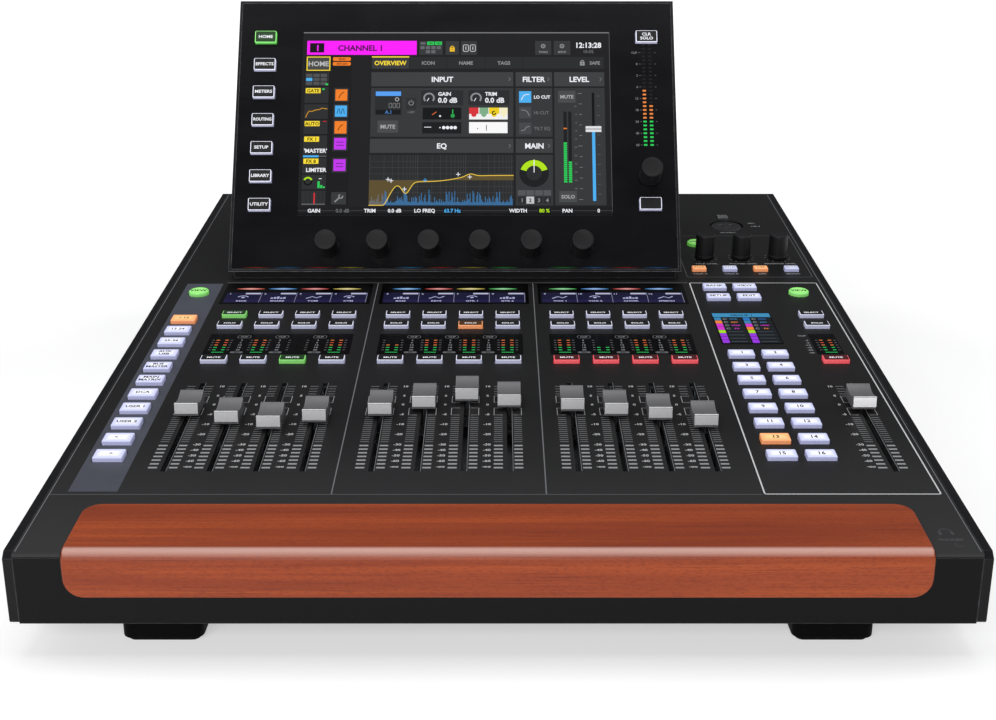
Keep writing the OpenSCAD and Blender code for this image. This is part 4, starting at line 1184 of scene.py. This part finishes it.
ui.stroke([(106.2, 58.4), (106.2, 62.0)], 0.6, MEADOW, 3)
ui.disc(106.2, 63.2, 1.5, rgb("28a04c"), 3)
ui.rect(117.9, 57.0, 145.3, 66.0, rgb("f4f4f4"), 2)
BLOCKS = [(117.9, 124.6, "d8353c"), (125.2, 131.6, "7fb08a"), (132.0, 139.4, "f2d21e"),
          (139.8, 145.3, "f7f0c8")]
for x0, x1, code in BLOCKS:
    ui.rect(x0, 57.0, x1, 61.8, rgb(code), 3)
    ui.disc((x0 + x1) / 2, 62.2, 1.9, rgb(code), 3)
ui.arc(135.6, 61.0, 0.8, 1.6, 0, 300, rgb("2a2412"), 4)
ui.rect(84.6, 68.0, 112.4, 76.7, rgb("1b1c1e"), 2)
ui.rect(86.0, 71.6, 91.0, 72.1, WHITE, 3)
for k in range(5):
    ui.disc(97.2 + 2.7 * k, 72.2, 0.5 if k == 0 else 1.25, WHITE, 3)
ui.rect(117.9, 68.0, 145.2, 76.4, rgb("fbfbfb"), 2)
ui.rect(130.0, 70.0, 130.5, 74.6, CHARCOAL, 3)
ui.rect(123.6, 72.6, 124.3, 73.3, CHARCOAL, 3)

# Filter pane
for k, word in enumerate(("LO CUT", "HI CUT", "TILT EQ")):
    y0 = 44.4 + 12.0 * k
    ui.rect(153.5, y0, 162.2, y0 + 8.8, BLUE if k == 0 else rgb("46484b"), 2)
    shape = [(155.0, y0 + 6.8), (156.6, y0 + 3.6), (158.0, y0 + 2.6), (160.8, y0 + 2.4)]
    if k == 1:
        shape = [(155.0, y0 + 2.4), (157.8, y0 + 2.6), (159.4, y0 + 3.8), (160.8, y0 + 6.8)]
    if k == 2:
        shape = [(155.0, y0 + 6.2), (157.4, y0 + 5.6), (158.6, y0 + 3.4), (160.8, y0 + 2.8)]
    ui.stroke(shape, 0.5, WHITE if k == 0 else GREY, 3)
    ui.text(word, 164.0, y0 + 4.4, 2.5, WHITE if k == 0 else DIM, "left", 3, 0.95)

# Equaliser graph
GX0, GX1, GY0, GY1, ZERO = 47.7, 149.4, 92.8, 130.4, 111.8
ui.rect(GX0, GY0, GX1, GY1, WELL)
for decade in range(3):
    for k in range(1, 10):
        x = GX0 + (decade + math.log10(k)) * (GX1 - GX0) / 3
        ui.rect(x, GY0, x + (0.3 if k == 1 else 0.18), GY1, LINES, 2)
for k in range(1, 8):
    ui.rect(GX0, GY0 + 4.7 * k, GX1, GY0 + 4.7 * k + 0.2, LINES, 2)


def response(x):
    """Level of the equaliser curve at a place across the graph."""
    t = (x - GX0) / (GX1 - GX0)
    rise = 19.0 * math.exp(-((t - 0.08) / 0.055) ** 2 / 2) if t > 0.08 else 19.0
    notch = 8.6 * math.exp(-((t - 0.255) / 0.028) ** 2 / 2)
    slope = 4.0 / (1 + math.exp(-(t - 0.60) * 16))
    bump = 1.9 * math.exp(-((t - 0.70) / 0.028) ** 2 / 2)
    return ZERO + rise + notch + 1.2 - slope * 1.2 - bump


GRAPH_STEPS = 90
graph_x = [GX0 + (GX1 - GX0) * i / GRAPH_STEPS for i in range(GRAPH_STEPS + 1)]
curve = [(x, min(response(x), GY1)) for x in graph_x]
ui.band(curve, [(x, ZERO) for x in graph_x], rgb("5e5030"), 3)
for i in range(150):
    x = GX0 + 0.4 + i * (GX1 - GX0 - 1.0) / 150
    rise = 2.0 + 10.5 * random.random() ** 2 * (0.45 + 0.55 * math.sin(i * 0.13) ** 2)
    tone = rgb("3d79ad") if i > 13 else rgb("6f7276")
    ui.rect(x, GY1 - rise, x + 0.5, GY1, tone, 4)
ui.stroke(curve, 0.55, rgb("f5cf4a"), 5)
for x, y in ((61.0, 111.2), (63.2, 112.2), (72.6, 118.4), (110.4, 107.4), (118.6, 109.4)):
    ui.rect(x - 1.5, y - 0.25, x + 1.5, y + 0.25, WHITE, 6)
    ui.rect(x - 0.25, y - 1.5, x + 0.25, y + 1.5, WHITE, 6)
ui.rect(85.6, 111.6, 88.6, 112.1, BLUE, 6)
ui.rect(86.9, 110.3, 87.3, 113.3, BLUE, 6)

# Main pane: a dial over its send keys
ui.arc(163.9, 106.5, 4.4, 10.4, 0, 360, rgb("1d1e20"), 2, 40)
ui.disc(163.9, 106.5, 5.4, WELL, 3, 30)
ui.arc(163.9, 106.5, 5.6, 9.8, 196, 344, LIME, 3, 40)
ui.rect(163.6, 96.4, 164.2, 106.0, WHITE, 4)
for k in range(4):
    x0 = 152.4 + 6.0 * k
    ui.rect(x0, 119.2, x0 + 5.4, 123.2, rgb("55575a"), 2)
    ui.rect(x0, 124.0, x0 + 5.4, 129.2, SILVER if k == 1 else WELL, 2)
    ui.text(str(k + 1), x0 + 2.7, 126.6, 2.8, rgb("26272a") if k == 1 else GREY, level=3)

# Level pane
ui.rect(181.4, 44.0, 193.8, 53.2, BUTTON, 2)
ui.text("MUTE", 187.6, 48.6, 2.7, FADED, level=3)
ui.rect(181.5, 119.8, 193.9, 128.1, BUTTON, 2)
ui.text("SOLO", 187.7, 124.0, 2.7, FADED, level=3)
for x0, y0 in ((185.0, 82.6), (188.4, 96.1)):
    ui.rect(x0, 60.0, x0 + 2.3, 113.5, rgb("1d1e20"), 2)
    for k in range(int((113.5 - y0) / 1.6)):
        ui.rect(x0, 113.5 - 1.6 * k - 1.3, x0 + 2.3, 113.5 - 1.6 * k, MEADOW, 3)
ui.rect(185.0, 72.4, 187.3, 73.3, AMBER, 3)
for k in range(11):
    ui.rect(196.2 if k % 5 else 195.4, 46.0 + 8.0 * k, 198.2, 46.3 + 8.0 * k, GREY, 2)
    ui.text(str(abs(10 - 6 * k)), 194.4, 56.0 + 6.2 * k, 1.3, DIM, "right", 3)
ui.rect(205.4, 45.5, 207.2, 127.2, rgb("101113"), 2)
ui.rect(205.2, 73.0, 207.4, 127.2, BLUE, 3)
ui.rect(200.7, 71.1, 211.9, 75.5, rgb("e4e5e8"), 4, 0.4)
ui.rect(200.7, 73.0, 211.9, 73.6, rgb("6a6b70"), 5)
for k in range(11):
    ui.rect(209.0, 48.0 + 7.4 * k, 211.0, 48.3 + 7.4 * k, DIM, 2)

# Names of the six knobs below the screen
ui.rect(-1.8, 131.6, SCREEN_W + 1.8, SCREEN_H + 0.4, DEEP, 1)
ui.rect(-1.8, 134.2, SCREEN_W + 1.8, 134.5, rgb("4b4c4f"), 2)
FOOT = [("GAIN", 9.4, WHITE), ("0.0 dB", 29.5, DIM), ("TRIM", 48.6, WHITE), ("0.0 dB", 66.0, WHITE),
        ("LO FREQ", 87.0, WHITE), ("63.7 Hz", 106.5, BLUE), ("WIDTH", 152.5, WHITE), ("80 %", 171.0, LIME),
        ("PAN", 187.0, WHITE), ("0", 209.0, WHITE)]
for word, x, tint in FOOT:
    wide = glyphs(word)[2] * 2.7
    ui.rect(x - wide / 2 - 0.8, 132.2, x + wide / 2 + 0.8, 136.2, DEEP, 3)
    ui.text(word, x, 134.3, 2.7, tint, level=4)
ui.make("screen_image", CONSOLE, "display", False)

# ---- pod meter, small prints and a painted reflection of the display bars ---------------

METER_FOOT, METER_PITCH = 91.6, 2.95
piece = Piece(face, base=0.02)
for k in range(28):
    u = METER_FOOT + METER_PITCH * k
    for col, hot in ((0, 8), (1, 4)):
        x = 134.6 + 4.6 * col
        tone = MEADOW if k < 7 else OVER if k < 7 + hot else rgb("1f2022")
        piece.rect(x - 1.2, u - 0.65, x + 1.2, u + 0.65, tone)
    if k % 3 == 0:
        piece.rect(131.2, u - 0.2, 132.4, u + 0.2, DIM)
        piece.rect(142.4, u - 0.2, 143.4, u + 0.2, DIM)
for word, k in (("0", 21), ("3", 18), ("6", 15), ("12", 12), ("18", 9), ("24", 6), ("40", 3), ("60", 0)):
    piece.text(word, 130.2, METER_FOOT + METER_PITCH * k, 1.7, rgb("77787b"), "right")
for word, x in (("L", 134.6), ("R", 139.2)):
    piece.text(word, x, 176.6, 2.0, rgb("8a8b8e"))
piece.text("CLIP", 130.2, METER_FOOT + METER_PITCH * 24, 1.6, rgb("77787b"), "right")
# Painted reflection: dim copies of the channel displays' colour bars along the foot of the pod face.
for bank in range(3):
    for i in range(4):
        x = -104.9 + 106.4 * bank + 21.85 * (i - 1.5)
        tone = dim(rgb(BAR_TINTS[bank][i]), 0.22)
        piece.glow(x, 0.95, 20.8, 0.8, tone, dim(tone, 0.3))
piece.make("pod_marks", CONSOLE, "lit", False)

# ---- rear and side prints ---------------------------------------------------------------

ink = Piece(rear, base=0.02)


def socket_labels(node, prefix):
    """Numbers over the upper row of sockets and under the lower one."""
    spots = [centre(*box) for box in rear.solids(node)]
    columns = sorted({round(x, 1) for x, y in spots})
    heights = sorted({round(y, 1) for x, y in spots})
    for k, y in enumerate(heights[::-1]):
        for c, x in enumerate(columns):
            ink.text(f"{prefix} {k * len(columns) + c + 1}", x, y + 12.6 if k == 0 else y - 12.8, 2.2, PRINT)


socket_labels("xlr_inputs", "IN")
socket_labels("xlr_outputs", "OUT")
for node, words, rise, size in (("network_sockets", ("USB", "NET 3", "NET 2", "NET 1", "CONTROL"), 9.4, 2.0),
                                ("power_inlet", ("POWER", "AC IN"), 12.4, 2.2)):
    for box, word in zip(rear.solids(node), words):
        x, y = centre(*box)
        ink.text(word, x, y + rise, size, PRINT)
ink.make("rear_print", CONSOLE, "ink", False)

ink = Piece(side, base=0.02)
for box in side.solids("phones_sockets"):
    x, y = centre(*box)
    ink.text("PHONES", x, y + 8.6, 1.8, PRINT)
ink.make("cheek_print", CONSOLE, "ink", False)

# ---- stage ------------------------------------------------------------------------------


def floor():
    """A pale sweep that the feet stand on."""
    mesh = bpy.data.meshes.new("floor")
    reach = 14.0
    mesh.from_pydata([(-reach, -reach, 0), (reach, -reach, 0), (reach, reach, 0), (-reach, reach, 0)], [],
                     [(0, 1, 2, 3)])
    s = Shader("floor_white", Specular_IOR_Level=0.5, Roughness=0.28)
    s.set("Base Color", s.mix(s.span(s.noise(3, 3), 0, 1), (0.60, 0.60, 0.60, 1), (0.63, 0.63, 0.63, 1)))
    away = s.node("VectorMath", {0: s.place}, operation="LENGTH").outputs["Value"]
    mesh.materials.append(s.glowing((1, 1, 1, 1), s.span(away, 0.48, 1.1, 0.4, 1.6)))
    place("floor", mesh)


def light(name, at, target, size, power):
    """A soft rectangular lamp that faces a target."""
    data = bpy.data.lights.new(name, "AREA")
    data.shape = "RECTANGLE"
    data.size, data.size_y = size
    data.energy = power
    obj = place(name, data)
    obj.location = at
    obj.rotation_euler = (Vector(target) - Vector(at)).to_track_quat("-Z", "Y").to_euler()


floor()
light("top_softbox", (0, 0.0, 1.7), (0, 0, 0.05), (1.8, 1.1), 17)
light("front_softbox", (-0.4, -1.8, 0.8), (0, -0.2, 0.05), (1.5, 0.8), 24)
light("left_strip", (-1.5, 0.1, 0.9), (0, 0, 0.1), (0.5, 1.6), 8)
light("right_strip", (1.5, 0.3, 0.9), (0, 0, 0.1), (0.5, 1.6), 8)

world = bpy.data.worlds.new("studio")
world.use_nodes = True
bpy.context.scene.world = world
tree = world.node_tree
tree.nodes["Background"].inputs["Color"].default_value = (0.95, 0.97, 1.0, 1)
tree.nodes["Background"].inputs["Strength"].default_value = 0.15
seen = tree.nodes.new("ShaderNodeBackground")
seen.inputs["Color"].default_value = (1, 1, 1, 1)
split = tree.nodes.new("ShaderNodeMixShader")
ray = tree.nodes.new("ShaderNodeLightPath")
tree.links.new(ray.outputs["Is Camera Ray"], split.inputs[0])
tree.links.new(tree.nodes["Background"].outputs[0], split.inputs[1])
tree.links.new(seen.outputs[0], split.inputs[2])
tree.links.new(split.outputs[0], tree.nodes["World Output"].inputs[0])
bpy.context.scene.view_settings.view_transform = "Standard"

LENS_MM = 50.78
PITCH = 18.57  # degrees that the camera looks down
BEFORE, ABOVE = 0.58266, 0.28962  # metres from the panel's front edge
camera_data = bpy.data.cameras.new("camera")
camera_data.lens = LENS_MM
camera = place("camera", camera_data)
edge = panel.matrix @ Vector((0, 0, 0))
camera.location = (0, edge.y - BEFORE, edge.z + ABOVE)
camera.rotation_euler = (math.radians(90 - PITCH), 0, 0)
bpy.context.scene.camera = camera

bpy.context.view_layer.update()
